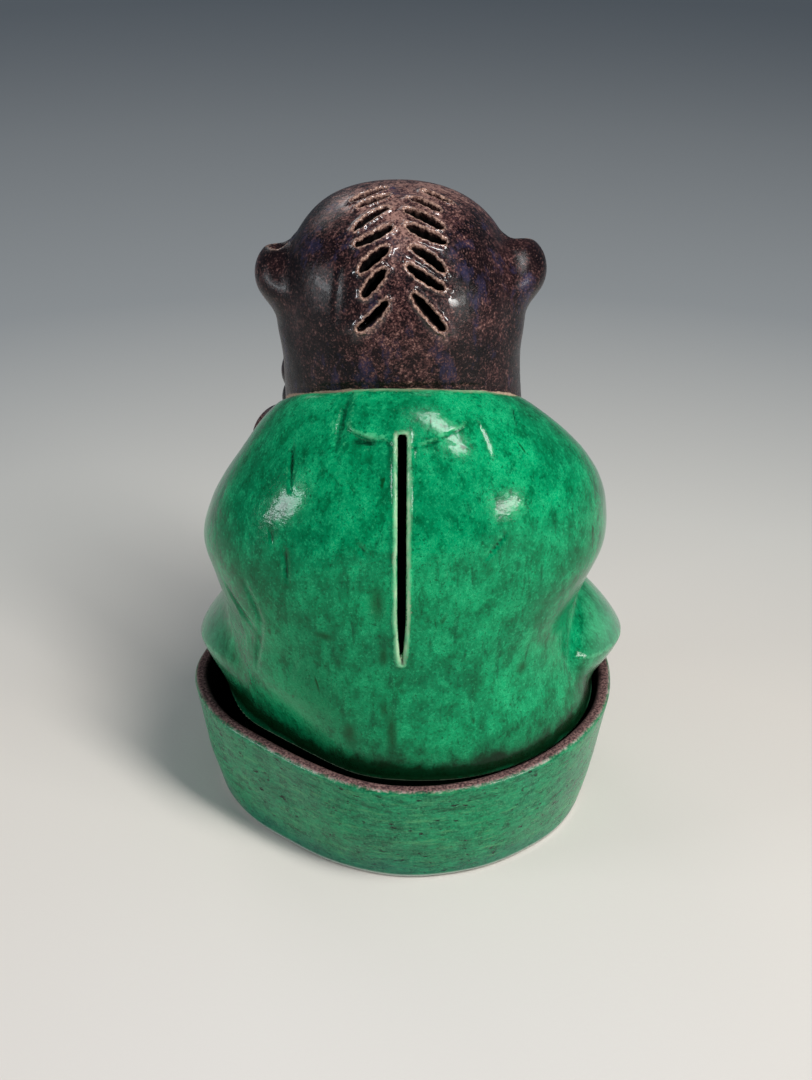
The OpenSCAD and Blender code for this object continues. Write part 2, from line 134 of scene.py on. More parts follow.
def lay_sheet():
    """The pale sheet that the censer stands on"""
    half, middle_y = 3.0, 0.15
    mesh = bpy.data.meshes.new("sheet")
    corners = [(-half, -half, 0), (half, -half, 0), (half, half, 0), (-half, half, 0)]
    mesh.from_pydata(corners, [], [(0, 1, 2, 3)])
    sheet = bpy.data.objects.new("sheet", mesh)
    sheet.location = (0, middle_y, 0)
    scene.collection.objects.link(sheet)
    material, tree, shader = new_material("pale_sheet")
    place = node(tree, "TexCoord").outputs["Object"]
    far = node(tree, "VectorMath", {0: place}, operation="LENGTH").outputs["Value"]
    # Painted light: the sheet is lighter round the censer and darker further off, as a pool of light
    colour = ramp(far, (0.05, srgb(217, 210, 203)), (0.22, srgb(215, 207, 197)),
                  (0.32, srgb(200, 196, 188)), (0.52, srgb(149, 151, 151)), (1.0, srgb(94, 100, 105)))
    grain = node(tree, "TexNoise", {"Vector": place, "Scale": 900.0, "Detail": 3.0}).outputs["Fac"]
    bump = node(tree, "Bump", {"Height": grain, "Strength": 0.08, "Distance": 0.4 * mm})
    connect(shader, {"Base Color": colour, "Normal": bump.outputs["Normal"], "Roughness": 0.7})
    clear = node(tree, "BsdfTransparent").outputs["BSDF"]
    fading = {0: between(far, 0.75, 1.7), 1: shader.outputs["BSDF"], 2: clear}
    faded = node(tree, "MixShader", fading).outputs["Shader"]
    connect(tree.nodes["Material Output"], {"Surface": faded})
    sheet.data.materials.append(material)


def hang_lamp(name, size, at, watts, colour=(1, 1, 1)):
    """A soft rectangular lamp at a place, so wide and so high, turned to face the piece"""
    light = bpy.data.lights.new(name, "AREA")
    light.shape = "RECTANGLE"
    light.size, light.size_y = size
    light.energy = watts
    light.color = colour
    lamp = bpy.data.objects.new(name, light)
    lamp.location = at
    middle = Vector((0, 0, (cad_box[0][2] + cad_box[1][2]) / 2))
    lamp.rotation_euler = (Vector(at) - middle).to_track_quat("Z", "Y").to_euler()
    scene.collection.objects.link(lamp)


def set_camera():
    """The camera stands behind the dog and looks down at it by 30 degrees"""
    reach, rise, aim_z = 0.537, 0.310, 0.081
    lens = bpy.data.cameras.new("camera")
    lens.lens = 71.2
    camera = bpy.data.objects.new("camera", lens)
    camera.location = (0, reach, aim_z + rise)
    camera.rotation_euler = (math.atan2(reach, rise), 0, math.pi)
    scene.collection.objects.link(camera)
    scene.camera = camera


def paint_room():
    """A dim grey room. It gives the piece more light than it shows to the camera"""
    lighting, shown = (0.150, 0.182, 0.222, 1), srgb(82, 90, 98)
    world = bpy.data.worlds.new("room")
    world.use_nodes = True
    tree = world.node_tree
    rays = node(tree, "LightPath").outputs
    seen = rays["Is Camera Ray"]
    for ray in ("Is Glossy Ray", "Is Transmission Ray"):
        seen = node(tree, "Math", {0: seen, 1: rays[ray]}, operation="MAXIMUM").outputs["Value"]
    connect(tree.nodes["Background"], {"Color": mixed(seen, lighting, shown)})
    scene.world = world


lay_sheet()
set_camera()
hang_lamp("ceiling_lamp", (0.17, 0.65), (-0.38, 0.45, 1.1), 12.8)
hang_lamp("left_window", (0.50, 0.14), (1.2, 0.30, 0.27), 5.6, (0.90, 0.96, 1.0))
hang_lamp("right_window", (0.38, 0.16), (-0.98, 0.70, 0.27), 7.0, (1.0, 0.99, 0.96))
hang_lamp("front_fill", (0.6, 0.6), (0.55, -1.15, 0.8), 2)
paint_room()

# ---- The dish ----------------------------------------------------------------------------------
# A shallow hand-pressed dish of buff stoneware, flattened at one side where it was set down
# soft. Its wall is glazed in a thin green outside only: the rim's flat top is bare clay, and
# the inside is stained black by smoke. The figure lifts straight out of it.

rim_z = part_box("base_dish")[1][2] / mm
rim_r, foot_r, dish_wall, dish_floor = 61.4, 54.4, 4.0, 5.0
flat_depth, flat_at, flat_spread = 5.6, math.radians(50), math.radians(23)


def mix(low, high, share):
    """The value a share of the way from low to high"""
    return low + (high - low) * share


def hump(value, at, width):
    """How near a value is to a place: 1 there, and fading smoothly over a width"""
    return np.exp(-((value - at) / width) ** 2)


def dent(angle, at, spread):
    """How much of a dent is felt at an angle, for one that is spread to each side of a place"""
    return hump((angle - at + math.pi) % (2 * math.pi) - math.pi, 0, spread)


def finish_piece(name, points, faces, glaze, nodes, body, masks=(), normals=None):
    """A finished piece from points in millimetres. It stands for CAD nodes and rides on a body"""
    mesh = bpy.data.meshes.new(name)
    mesh.from_pydata((points * mm).tolist(), [], faces)
    for mask, values in dict(masks).items():
        mesh.attributes.new(mask, "FLOAT", "POINT").data.foreach_set("value", values.astype(np.float32))
    mesh.shade_smooth()
    if normals is not None:
        mesh.normals_split_custom_set(normals.tolist())
    mesh.materials.append(glaze)
    piece = bpy.data.objects.new(name + "_glazed", mesh)
    scene.collection.objects.link(piece)
    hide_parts(*nodes)
    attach(piece, body)


def rounded(outline):
    """An open outline with its corners cut off"""
    near, far = outline[:-1], outline[1:]
    cut = np.stack([0.75 * near + 0.25 * far, 0.25 * near + 0.75 * far], axis=1)
    return np.concatenate([outline[:1], cut.reshape(-1, 2), outline[-1:]])


def divided(outline, step):
    """An outline with points every step along it, so that its corners stay where they are"""
    pieces = []
    for near, far in zip(outline[:-1], outline[1:]):
        count = max(1, round(float(np.linalg.norm(far - near)) / step))
        pieces.append(near + (far - near) * np.arange(count)[:, None] / count)
    return np.concatenate(pieces + [outline[-1:]])


def laid(under, over, factor, *stops):
    """A colour laid over another, as strongly as a ramp of the factor says"""
    return mixed(ramp(factor, *stops), under, over)


def mask_of(tree, name):
    """A value that the mesh holds at each of its points"""
    return node(tree, "Attribute", attribute_name=name).outputs["Fac"]


def noise(place, size, detail=4.0, roughness=0.6, distortion=0.0):
    """Noise whose patches are about a size across, in millimetres"""
    grain = {"Vector": place, "Scale": 1 / (size * mm), "Detail": detail, "Roughness": roughness,
             "Distortion": distortion}
    return node(place.id_data, "TexNoise", grain).outputs["Fac"]


def stretched(place, rise):
    """Places with scaled heights: what is laid over them runs upright under 1, and level over 1"""
    scaled = node(place.id_data, "VectorMath", {0: place, 1: (1, 1, rise)}, operation="MULTIPLY")
    return scaled.outputs["Vector"]


def add_bump(height, depth, normal=None):
    """A bump of a depth in millimetres, on top of another"""
    inputs = {"Height": height, "Strength": 1.0, "Distance": depth * mm}
    if normal is not None:
        inputs["Normal"] = normal
    return node(height.id_data, "Bump", inputs).outputs["Normal"]


def sums(first, *terms):
    """A socket plus (socket, times) terms"""
    tree = first.id_data
    for term, times in terms:
        scaled = node(tree, "Math", {0: term, 1: times}, operation="MULTIPLY").outputs["Value"]
        first = node(tree, "Math", {0: first, 1: scaled}, operation="ADD").outputs["Value"]
    return first


def dish_glaze():
    """Green on the wall, bare clay on the rim's flat top, and soot inside"""
    material, tree, shader = new_material("dish_glaze")
    place = node(tree, "TexCoord").outputs["Object"]
    z = node(tree, "SeparateXYZ", {"Vector": place}).outputs["Z"]
    broad = noise(place, 26, 3, 0.6, 0.4)
    mottle = noise(stretched(place, 1.6), 4.0, 9, 0.8, 0.15)
    brushed = noise(stretched(place, 7), 9, 5, 0.7)
    pits = noise(stretched(place, 2.6), 2.6, 2, 0.5)
    grain = noise(place, 0.7, 3, 0.7)
    # The green is dark where it lies thick and pale where it is thin, with level brush marks and pits
    colour = mixed(between(broad, 0.38, 0.62), srgb(24, 112, 76), srgb(0, 128, 80))
    colour = laid(colour, srgb(0, 68, 40), mottle, (0.38, 0.75), (0.50, 0))
    colour = laid(colour, srgb(30, 148, 98), mottle, (0.52, 0), (0.62, 0.8))
    colour = laid(colour, srgb(92, 170, 122), grain, (0.54, 0), (0.70, 0.5))
    colour = laid(colour, srgb(0, 62, 36), grain, (0.32, 0.6), (0.44, 0))
    colour = laid(colour, srgb(78, 152, 98), brushed, (0.54, 0), (0.66, 0.6))
    colour = laid(colour, srgb(0, 66, 38), brushed, (0.32, 0.8), (0.43, 0))
    colour = laid(colour, srgb(0, 28, 14), pits, (0.31, 1), (0.35, 0))
    # It is bluer low on the wall, and the foot's very edge is bare
    low = between(sums(z, (broad, 14 * mm)), 15 * mm, 7 * mm)
    colour = laid(colour, srgb(16, 92, 82), low, (0, 0), (1, 0.5))
    colour = mixed(between(z, 1.8 * mm, 0.9 * mm), colour, srgb(176, 186, 176))
    # The clay of the rim, rubbed pale along its outer edge
    along = sums(mask_of(tree, "past_rim"), (mottle, 3.0), (grain, 1.6))
    clay = mixed(ramp(grain, (0.42, 0), (0.66, 1)), srgb(56, 38, 40), srgb(146, 112, 106))
    worn = laid(clay, srgb(196, 184, 176), mottle, (0.50, 0), (0.62, 0.9))
    clay = mixed(between(along, 2.5, 1.6), clay, worn)
    bare = between(along, 1.0, 2.1)
    colour = mixed(bare, colour, clay)
    soot = mixed(mottle, srgb(10, 7, 8), srgb(30, 23, 22))
    colour = mixed(between(along, 3.8, 5.4), colour, soot)
    rough = mixed(bare, ramp(mottle, (0.3, 0.20), (0.75, 0.42)), 0.85)
    normal = add_bump(noise(place, 10, 3), 0.45)
    normal = add_bump(brushed, 0.22, normal)
    normal = add_bump(ramp(pits, (0.22, 0), (0.32, 1)), 0.25, normal)
    connect(shader, {"Base Color": colour, "Roughness": rough, "Normal": normal,
                     "Specular IOR Level": 0.14, "Coat Weight": mixed(bare, 0.2, 0),
                     "Coat Roughness": 0.12})
    return material


def dish_outline():
    """Half a section of the dish, from the middle of its foot, up and over the rim, to its floor"""
    belly_z, belly_r = rim_z * 0.45, foot_r + (rim_r - foot_r) * 0.55
    inner_r, floor_r = rim_r - dish_wall, foot_r - dish_wall
    foot = [(0.5, 1.2), (foot_r - 7, 1.0), (foot_r - 5.5, 0), (foot_r - 1, 0), (foot_r, 1)]
    wall = [(belly_r, belly_z), (rim_r, rim_z - 1), (rim_r - 0.8, rim_z), (inner_r + 0.8, rim_z),
            (inner_r, rim_z - 1), (belly_r - dish_wall, belly_z)]
    floor = [(floor_r, dish_floor + 2.5), (floor_r - 2.5, dish_floor), (0.5, dish_floor)]
    return rounded(divided(np.array(foot + wall + floor), 1.6))


def press_dish():
    """The outline turned round the middle, pushed out of true by the hand and dented at one side"""
    outline, count = dish_outline(), 320
    angle = np.linspace(0, 2 * math.pi, count, endpoint=False)[None, :]
    radius, height = outline[:, :1], outline[:, 1:]
    reach, up = np.clip(radius / foot_r, 0, 1) ** 2, np.clip(height / rim_z, 0, 1)
    swell = flat_depth * 0.4 * dent(angle, flat_at - 2 * flat_spread, 0.8 * flat_spread)
    plan = (swell - flat_depth * dent(angle, flat_at, flat_spread)) * mix(0.6, 1, up)
    hand = (0.22 * np.sin(3 * angle + 0.6 + height / 9) + 0.16 * np.sin(7 * angle + 2 - height / 6)
            + 0.10 * np.sin(13 * angle + height / 4))
    ring = radius + reach * (plan + hand)
    wave = 0.35 * np.sin(2 * angle + 2.2) + 0.22 * np.sin(5 * angle + 1.1) + 0.12 * np.sin(11 * angle)
    z = height + up ** 2 * reach * np.minimum(wave - 0.5, 0)
    points = np.stack([ring * np.cos(angle), ring * np.sin(angle), z], axis=-1).reshape(-1, 3)
    k, i = np.divmod(np.arange((len(outline) - 1) * count), count)
    near, far = k * count + i, k * count + (i + 1) % count
    faces = np.stack([near, far, far + count, near + count], axis=1).tolist()
    under, over = len(points), len(points) + 1
    last = (len(outline) - 1) * count
    faces += [[under, (i + 1) % count, i] for i in range(count)]
    faces += [[over, last + i, last + (i + 1) % count] for i in range(count)]
    points = np.concatenate([points, [(0, 0, outline[0, 1]), (0, 0, outline[-1, 1])]])
    past_rim = np.cumsum(np.concatenate([[0], np.linalg.norm(np.diff(outline, axis=0), axis=1)]))
    past_rim -= past_rim[np.argmax(outline[:, 1])]
    past_rim = np.concatenate([np.repeat(past_rim, count), [-99, 99]])
    finish_piece("base_dish", points, faces, dish_glaze(), ["base_dish"], "dish",
                 {"past_rim": past_rim})


press_dish()

# ---- The robed body ----------------------------------------------------------------------------
# A hollow body of clay, coiled and beaten round over the dish's mouth, with a slot cut up its
# back for the smoke. It narrows at the waist, swells at the shoulders and leans a little.

robe_lo, robe_hi = (np.array(corner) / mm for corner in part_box("body_shell"))
head_lo, head_hi = (np.array(corner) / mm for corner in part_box("head_shell"))
foot_z = robe_lo[2]
waist_z = rim_z + 28.5
shoulder_z = waist_z + 20
neck_z = shoulder_z + 41
temple_z = neck_z + 31
crown_z = head_hi[2]
# Below this height the body's sections are level, and above it they tilt more and more, as far as
# the neckline's slope
level_z = rim_z + 0.75 * (waist_z - rim_z)
slope = math.tan(math.radians(31))
body_wall, neck_w, robe_edge, nape_share = 5.0, 33.0, 1.0, 0.92
shoulder_w = (robe_hi[0] - robe_lo[0]) / 2
squareness = 2.15
# The distance given for what is far away
far_off = 60.0


def curve(stations):
    """The smooth curve through (height, value) stations, as a function of the height"""
    height, value = np.array(stations, float).T
    slopes = np.gradient(value) / np.gradient(height)
    fine = np.linspace(height[0], height[-1], 600)
    i = np.clip(np.searchsorted(height, fine, side="right") - 1, 0, len(height) - 2)
    gap = height[i + 1] - height[i]
    t = (fine - height[i]) / gap
    smooth = ((1 + 2 * t) * (1 - t) ** 2 * value[i] + t ** 2 * (3 - 2 * t) * value[i + 1]
              + gap * (t * (1 - t) ** 2 * slopes[i] - t ** 2 * (1 - t) * slopes[i + 1]))
    return lambda z: np.interp(z, fine, smooth)


def body_side(foot, seat, waist, full, full_z, neck):
    """One side of the body: its foot ring, the rim's level, the waist, the fullest part, the neck"""
    falls = [(mix(full_z, neck_z, t), neck + (full - neck) * (1 - t * t) ** 0.95)
             for t in (0.25, 0.45, 0.62, 0.76, 0.87, 0.95, 1)]
    return curve([(foot_z, foot), (mix(foot_z, rim_z, 0.5), mix(foot, seat, 0.65)), (rim_z, seat),
                  (waist_z, waist), (mix(waist_z, full_z, 0.5), mix(waist, full, 0.5)),
                  (full_z, full)] + falls)


collar_w, nape_d = neck_w + robe_edge, neck_w * nape_share + robe_edge
body_w = body_side(foot=45, seat=54, waist=50.6, full=shoulder_w, full_z=shoulder_z, neck=collar_w)
body_back = body_side(foot=45, seat=55, waist=mix(55, 57.5, 0.6), full=57.5,
                      full_z=mix(waist_z, shoulder_z, 0.8), neck=nape_d)
body_front = body_side(foot=40, seat=43, waist=mix(43, 46, 0.5), full=46, full_z=shoulder_z, neck=nape_d)
nape_z = mix(shoulder_z, neck_z, 0.61)
lean = curve([(foot_z, -1.4), (rim_z, -1.4), (waist_z, 1.6), (shoulder_z, 0.5),
              (nape_z, -1.8), (neck_z, 0.6), (temple_z, 1.2), (crown_z, 2.6)])


def body_section(p):
    """Which section of the body each point is on: above the waist they rise towards the back"""
    lift = slope / (neck_z - level_z)
    return np.where(p[:, 2] < level_z, p[:, 2],
                    (p[:, 2] + lift * level_z * p[:, 1]) / np.maximum(1 + lift * p[:, 1], 0.2))


def oval(x, y, w, back, front):
    """How far out a point is on a squarish oval, as a share of the way to its edge"""
    depth = np.where(y > 0, back, front)
    return (np.abs(x / w) ** squareness + np.abs(y / depth) ** squareness) ** (1 / squareness)


def body_outside(p, grow=0):
    """Distance out from the body's side, ignoring its top and bottom"""
    h = np.clip(body_section(p), foot_z, neck_z)
    x, y = p[:, 0] - lean(h), p[:, 1]
    w, back, front = body_w(h) + grow, body_back(h) + grow, body_front(h) + grow
    above_rim = np.clip((h - rim_z) / (waist_z - rim_z), 0, 1)
    press = flat_depth * (0.5 + 0.5 * np.cos(math.pi * above_rim))
    keep = 1 - press / w * dent(np.arctan2(y / back, x / w), flat_at, flat_spread)
    out = np.maximum(oval(x, y, w * keep, back * keep, front * keep), 0.02)
    return np.hypot(x, y) * (1 - 1 / out)


def smaller(a, b, blend):
    """The nearer of two surfaces, run together where they meet as a finger smooths wet clay"""
    share = np.clip(0.5 + 0.5 * (b - a) / blend, 0, 1)
    return b + (a - b) * share - blend * share * (1 - share)


def larger(a, b, blend):
    """What lies inside both of two surfaces, with the edge between them rounded"""
    return -smaller(-a, -b, blend)


def ellipsoid(p, centre, half, turn=0, lean_over=0):
    """Distance from an ellipsoid with half-sizes, turned about Z and leant over about its X"""
    x, y, z = (p - np.array(centre)).T
    c, s = math.cos(math.radians(turn)), math.sin(math.radians(turn))
    x, y = c * x + s * y, c * y - s * x
    c, s = math.cos(math.radians(lean_over)), math.sin(math.radians(lean_over))
    y, z = c * y + s * z, c * z - s * y
    shares = np.stack([x, y, z], axis=1) / np.array(half)
    out = np.linalg.norm(shares, axis=1) + 1e-9
    return out * (out - 1) / (np.linalg.norm(shares / np.array(half), axis=1) + 1e-9)


def ripple(p):
    """The slow unevenness that hands leave in clay, in millimetres"""
    x, y, z = p.T
    return (0.20 * np.sin(x / 9.1 + 1.3 + 0.7 * np.sin(z / 13)) * np.sin(y / 10.7 + z / 14.3)
            + 0.16 * np.sin(z / 7.3 - x / 15.1 + 0.4) + 0.10 * np.sin(x / 4.9 - y / 5.3 + z / 6.1))


def line_dent(p, start, end, depth, width):
    """How far a stroke drawn on the surface from one place to another presses the clay in"""
    start, end = np.array(start, float), np.array(end, float)
    reach = 4 * width
    near = np.all((p > np.minimum(start, end) - reach) & (p < np.maximum(start, end) + reach), axis=1)
    q = p[near] - start
    along = np.clip(q @ (end - start) / ((end - start) @ (end - start)), 0, 1)
    away = np.linalg.norm(q - along[:, None] * (end - start), axis=1)
    taper = np.sin(math.pi * np.clip(along, 0.03, 0.97)) ** 0.5
    pressed = np.zeros(len(p))
    pressed[near] = depth * hump(away, 0, width) * taper
    return pressed


slot_w, slot_l = 2.3, 59.0
hem_z = rim_z - 1.9
tab_h = 6.6
tab_top = neck_z + slope * nape_d
tab_foot = tab_top - tab_h
slot_top = tab_foot - 1
slot_foot = slot_top - slot_l - slot_w


def back_slot(p):
    """Distance out from the slot's outline on the back: straight, and pointed at its lower end"""
    x = p[:, 0] - mix(lean(slot_foot), lean(slot_top), (p[:, 2] - slot_foot) / slot_l)
    half = slot_w / 2 * np.clip((p[:, 2] - slot_foot) / 14, 0, 1) ** 0.6
    side = np.abs(x) - half
    end = np.maximum(p[:, 2] - slot_top, slot_foot - p[:, 2])
    return np.where(p[:, 1] > 5, np.where(end > 0, np.hypot(np.maximum(side, 0), end), side), far_off)


# The strokes left in the clay: from a place to a place, how deep (or, under 0, how high) and wide
robe_strokes = [
    ((30, 33.4, 131), (30.6, 42, 120.5), 0.75, 0.7), ((36.2, 43.5, 109), (35.6, 45.2, 106), 0.6, 0.6),
    ((32.1, 47.6, 105.4), (31.7, 49.4, 97), 0.7, 0.7), ((12, 54.5, 111), (11.2, 55.2, 108.6), 0.6, 0.7),
    ((7.4, 57, 97.5), (6.9, 57.7, 88), 0.5, 1.2), ((6.6, 57.6, 83), (6.3, 57.4, 79), 0.4, 0.9),
    ((-28.5, 24, 136.5), (-29.6, 32.5, 134), 0.7, 0.7), ((-20.8, 53.4, 105.8), (-26.4, 50.2, 112), 0.5, 0.6),
    ((-18.5, 49, 120), (-19.4, 52, 111), 0.45, 0.6), ((30, 48.2, 71), (33, 46, 62), 0.35, 0.9),
    ((43.5, 40.2, 90), (39.7, 41.7, 79.5), 0.6, 1.2), ((39.7, 41.7, 79.5), (42, 35.6, 61), 0.7, 1.2),
    ((50.7, 27.9, 84), (42, 37.8, 74.5), 0.6, 1.2), ((48, 33, 80), (45.5, 33, 64), -0.5, 1.6)]


def robe_body(p):
    """The body's outside, with its worn lips round the slot and the strokes left in the clay"""
    form = body_outside(p) + ripple(p)
    slot = back_slot(p)
    # The slot's lips are uneven, and stand highest a little way out from its edge
    lip = 0.75 + 0.25 * np.sin(p[:, 2] / 3.1) * np.sin(p[:, 2] / 7.7) + 0.1 * np.sign(p[:, 0])
    form = form - 0.7 * lip * hump(slot, 0.9, 0.8) - 0.35 * hump(slot, 0, 5)
    for start, end, depth, width in robe_strokes:
        form = form + line_dent(p, start, end, depth, width)
    # The foot is set in under the hem, and the hem has a slight ridge
    over = p[:, 2] - hem_z
    form = form + 0.9 / (1 + np.exp(np.clip(over / 0.2, -30, 30))) - 0.3 * hump(over, 0.7, 0.6)
    top = body_section(p) - neck_z + 0.35 * np.sin(p[:, 0] / 4.1) * np.sin(p[:, 1] / 5.3)
    form = larger(form, top, 1.2)
    return larger(form, foot_z - p[:, 2], 0.8)


def body_hollow(p):
    """The room inside the body, open below, and cut through by the slot"""
    return smaller(body_outside(p, -body_wall), back_slot(p), 0.5)


# ---- The tab of the robe -----------------------------------------------------------------------
# A flat strip of clay pressed on below the nape, under the neckline, and ending in a small ledge
# over the slot. A groove drawn down its left side and a ridge down its right set it off.

ledge_z = tab_foot - 2.6
tab_middle, tab_out = 0.4, 0.8
# How far the tab reaches to its left and to its right, at its top and lower down
tab_left, tab_right = (13.4, 16.4), (13.2, 20)


def collar_tab(p):
    """A thin layer over the body, with a flaring edge at each side and a ragged one below"""
    x = p[:, 0] - tab_middle
    down = np.clip((tab_top - p[:, 2]) / 12, 0, 1.2)
    side = np.where(x > 0, x - mix(*tab_left, down), -x - mix(*tab_right, down))
    form = larger(body_outside(p) + ripple(p) - tab_out, side, 1.6)
    form = larger(form, ledge_z - p[:, 2] + 0.4 * np.sin(x / 2.6) + 0.010 * x * x, 0.9)
    return larger(larger(form, body_section(p) - neck_z + 0.3, 1.0), 20 - p[:, 1], 1.0)


# More strokes set the tab off: the groove at its left, the ridge at its right, and its lower edge
robe_strokes += [
    ((14.8, 30, 145), (18.6, 43, 131), 1.2, 1.5), ((-15.2, 33, 143.4), (-22.5, 44.5, 130), 0.65, 1.7),
    ((-13.4, 31.5, 144), (-20.2, 42.8, 132), -0.3, 1.2), ((14.5, 41.6, 134.8), (7.5, 43, 134.2), 0.9, 1.2),
    ((-5.5, 43.4, 134.2), (-13, 42.9, 134), 0.3, 0.8), ((9.2, 41, 137), (3.8, 41, 137), -0.3, 0.6),
    ((8.4, 39.4, 139.2), (4.4, 38.6, 140), -0.25, 0.6)]

# ---- The haunches ------------------------------------------------------------------------------
# Folded thighs of solid clay luted to the sides of the body, just over the dish's rim. The left
# one is smoothed into the robe, and the right one stands out like a leaf behind a sharp notch.

over_rim_z = rim_z + 0.6
thigh_x, thigh_y, thigh_lean = 44.5, -6, 12
# Each thigh's height, its half-sizes, and how sharply its edge is drawn out
thighs = {"left": (48, (18.3, 30, 18), 1.35), "right": (48.5, (18.4, 30, 19), 1.25)}


def from_side(p, side, z):
    """Points as seen from one side of the figure, so that a form is made once and faces out"""
    seen = p.copy()
    seen[:, 0] = side * (p[:, 0] - lean(z))
    return seen


def leaf(p, centre, half, sharp, lean_over):
    """A long lump whose edge is drawn out to a point sideways: the lower sharp is, the more"""
    x, y, z = (p - np.array(centre)).T
    c, s = math.cos(math.radians(lean_over)), math.sin(math.radians(lean_over))
    y, z = c * y + s * z, c * z - s * y
    across = (np.abs(x / half[0]) ** sharp + np.abs(z / half[2]) ** sharp) ** (1 / sharp)
    out = np.hypot(across, y / half[1]) + 1e-9
    return np.sqrt(x * x + y * y + z * z) * (1 - 1 / out)


def haunch(p, side):
    """A thigh whose edge is drawn out sideways like a leaf's, cut off flat over the dish's rim"""
    z, half, sharp = thighs["left" if side > 0 else "right"]
    thigh = leaf(from_side(p, side, rim_z), (thigh_x, thigh_y, z), half, sharp, thigh_lean)
    return larger(thigh, over_rim_z - p[:, 2], 2.2)


# ---- The forelegs and the paws -----------------------------------------------------------------
# Rolls of clay drawn straight down the chest to paws that rest just clear of the rim. The toes
# are parted with a knife. The hind paws peep out in front of the haunches.

leg_x, leg_r, paw_r = 20, 15, 9.5
shoulder, elbow, wrist = (31, -24, shoulder_z), (27, -35, 63), (leg_x, -43, over_rim_z + 11)
forepaw_at, forepaw_turn = (leg_x, -49.5, over_rim_z + 4), 0
hind_paw_at, hind_paw_turn = (40, -37, over_rim_z + 3.5), 35
tuft_x, tuft_z, tuft_depth = 34, 66, 0.6


def limb(p, stops, blend=3):
    """A roll of clay through (place, radius) stops"""
    form = np.full(len(p), far_off)
    for (start, thick), (end, thin) in zip(stops[:-1], stops[1:]):
        start, end = np.array(start, float), np.array(end, float)
        along = np.clip((p - start) @ (end - start) / ((end - start) @ (end - start)), 0, 1)
        reach = np.linalg.norm(p - start - along[:, None] * (end - start), axis=1)
        form = smaller(form, reach - mix(thick, thin, along), blend)
    return form


def foreleg(p, side):
    """A leg from the shoulder to the paw, with a tuft of hair combed into its outer side"""
    q = from_side(p, side, waist_z)
    leg = limb(q, [(shoulder, leg_r), (elbow, leg_r - 4), (wrist, leg_r - 6)])
    hairs = np.sin((q[:, 2] - q[:, 0]) / 2.1)
    return leg + tuft_depth * hairs * hump(q[:, 0], tuft_x, 5) * hump(q[:, 2], tuft_z, 9)


def paw(p, at, r, turn):
    """A ball and three toes, parted by knife cuts and flat underneath"""
    c, s = math.cos(math.radians(turn)), math.sin(math.radians(turn))
    q = p - np.array(at)
    x, y, z = c * q[:, 0] + s * q[:, 1], c * q[:, 1] - s * q[:, 0], q[:, 2]
    q = np.stack([x, y, z], axis=1)
    form = ellipsoid(q, (0, 0.21 * r, 0), (r, r, 0.85 * r))
    for k in (-1, 0, 1):
        toe_x, toe_y = 0.6 * k * r, (0.1 * abs(k) - 0.65) * r
        claw_y = (0.1 * abs(k) - 1.1) * r
        toe = ellipsoid(q, (toe_x, toe_y, -0.15 * r), (0.4 * r, 0.52 * r, 0.5 * r))
        claw = ellipsoid(q, (toe_x, claw_y, -0.22 * r), (0.14 * r, 0.2 * r, 0.2 * r))
        form = smaller(smaller(form, toe, 1.0), claw, 0.8)
    return larger(form, over_rim_z - p[:, 2], 0.8)


def forepaw(p, side):
    """A front paw, pointing straight ahead"""
    return paw(from_side(p, side, rim_z), forepaw_at, paw_r, forepaw_turn)


def hind_paw(p, side):
    """A smaller back paw, turned outwards"""
    return paw(from_side(p, side, rim_z), hind_paw_at, 0.84 * paw_r, hind_paw_turn)


# ---- The robe is worked together and skinned ---------------------------------------------------
# The body, tab, haunches and legs are luted together with slip and the joins are smoothed, then
# the whole is glazed green. Each piece keeps its own part of that one smooth skin.

def in_batches(form, points, size=250000):
    """A form's values at points, worked out in turns to spare memory"""
    return np.concatenate([form(points[i:i + size]) for i in range(0, len(points), size)])


@functools.cache
def box_of(node_name):
    """A node's box in millimetres, as its low and its high corner"""
    return np.array([tuple(corner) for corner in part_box(node_name)]) / mm


def near_box(p, node_name, margin):
    """Which points are in a node's box, or within a margin of it"""
    lo, hi = box_of(node_name)
    return np.all((p > lo - margin) & (p < hi + margin), axis=1)


def worked_together(p, carrier, others):
    """The carrier's form with each (node, form, blend) of the others run into it"""
    form = carrier(p)
    for node_name, other, blend in others:
        near = near_box(p, node_name, blend + 7)
        form[near] = smaller(form[near], other(p[near]), blend)
    return form


def slope_of(form, points, step=0.04):
    """The form's value and its gradient at points, from four tries round each"""
    value, gradient = 0, 0
    for corner in ((1, -1, -1), (-1, -1, 1), (-1, 1, -1), (1, 1, 1)):
        tried = in_batches(form, points + step * np.array(corner))
        value, gradient = value + tried / 4, gradient + tried[:, None] * corner / (4 * step)
    return value, gradient


def settled(points, form, reach, level=0, rounds=2):
    """Points moved straight onto the form's surface, or to a level within it"""
    for _ in range(rounds):
        value, gradient = slope_of(form, points)
        steep = np.sum(gradient ** 2, axis=1) + 1e-6
        move = ((value - level) / steep)[:, None] * gradient
        length = np.linalg.norm(move, axis=1)[:, None] + 1e-9
        points = points - move * np.minimum(1, reach / length)
    return points


def corners_of(grid):
    """The eight corners of each cell of a grid"""
    return [grid[x:x - 1 or None, y:y - 1 or None, z:z - 1 or None]
            for x in (0, 1) for y in (0, 1) for z in (0, 1)]


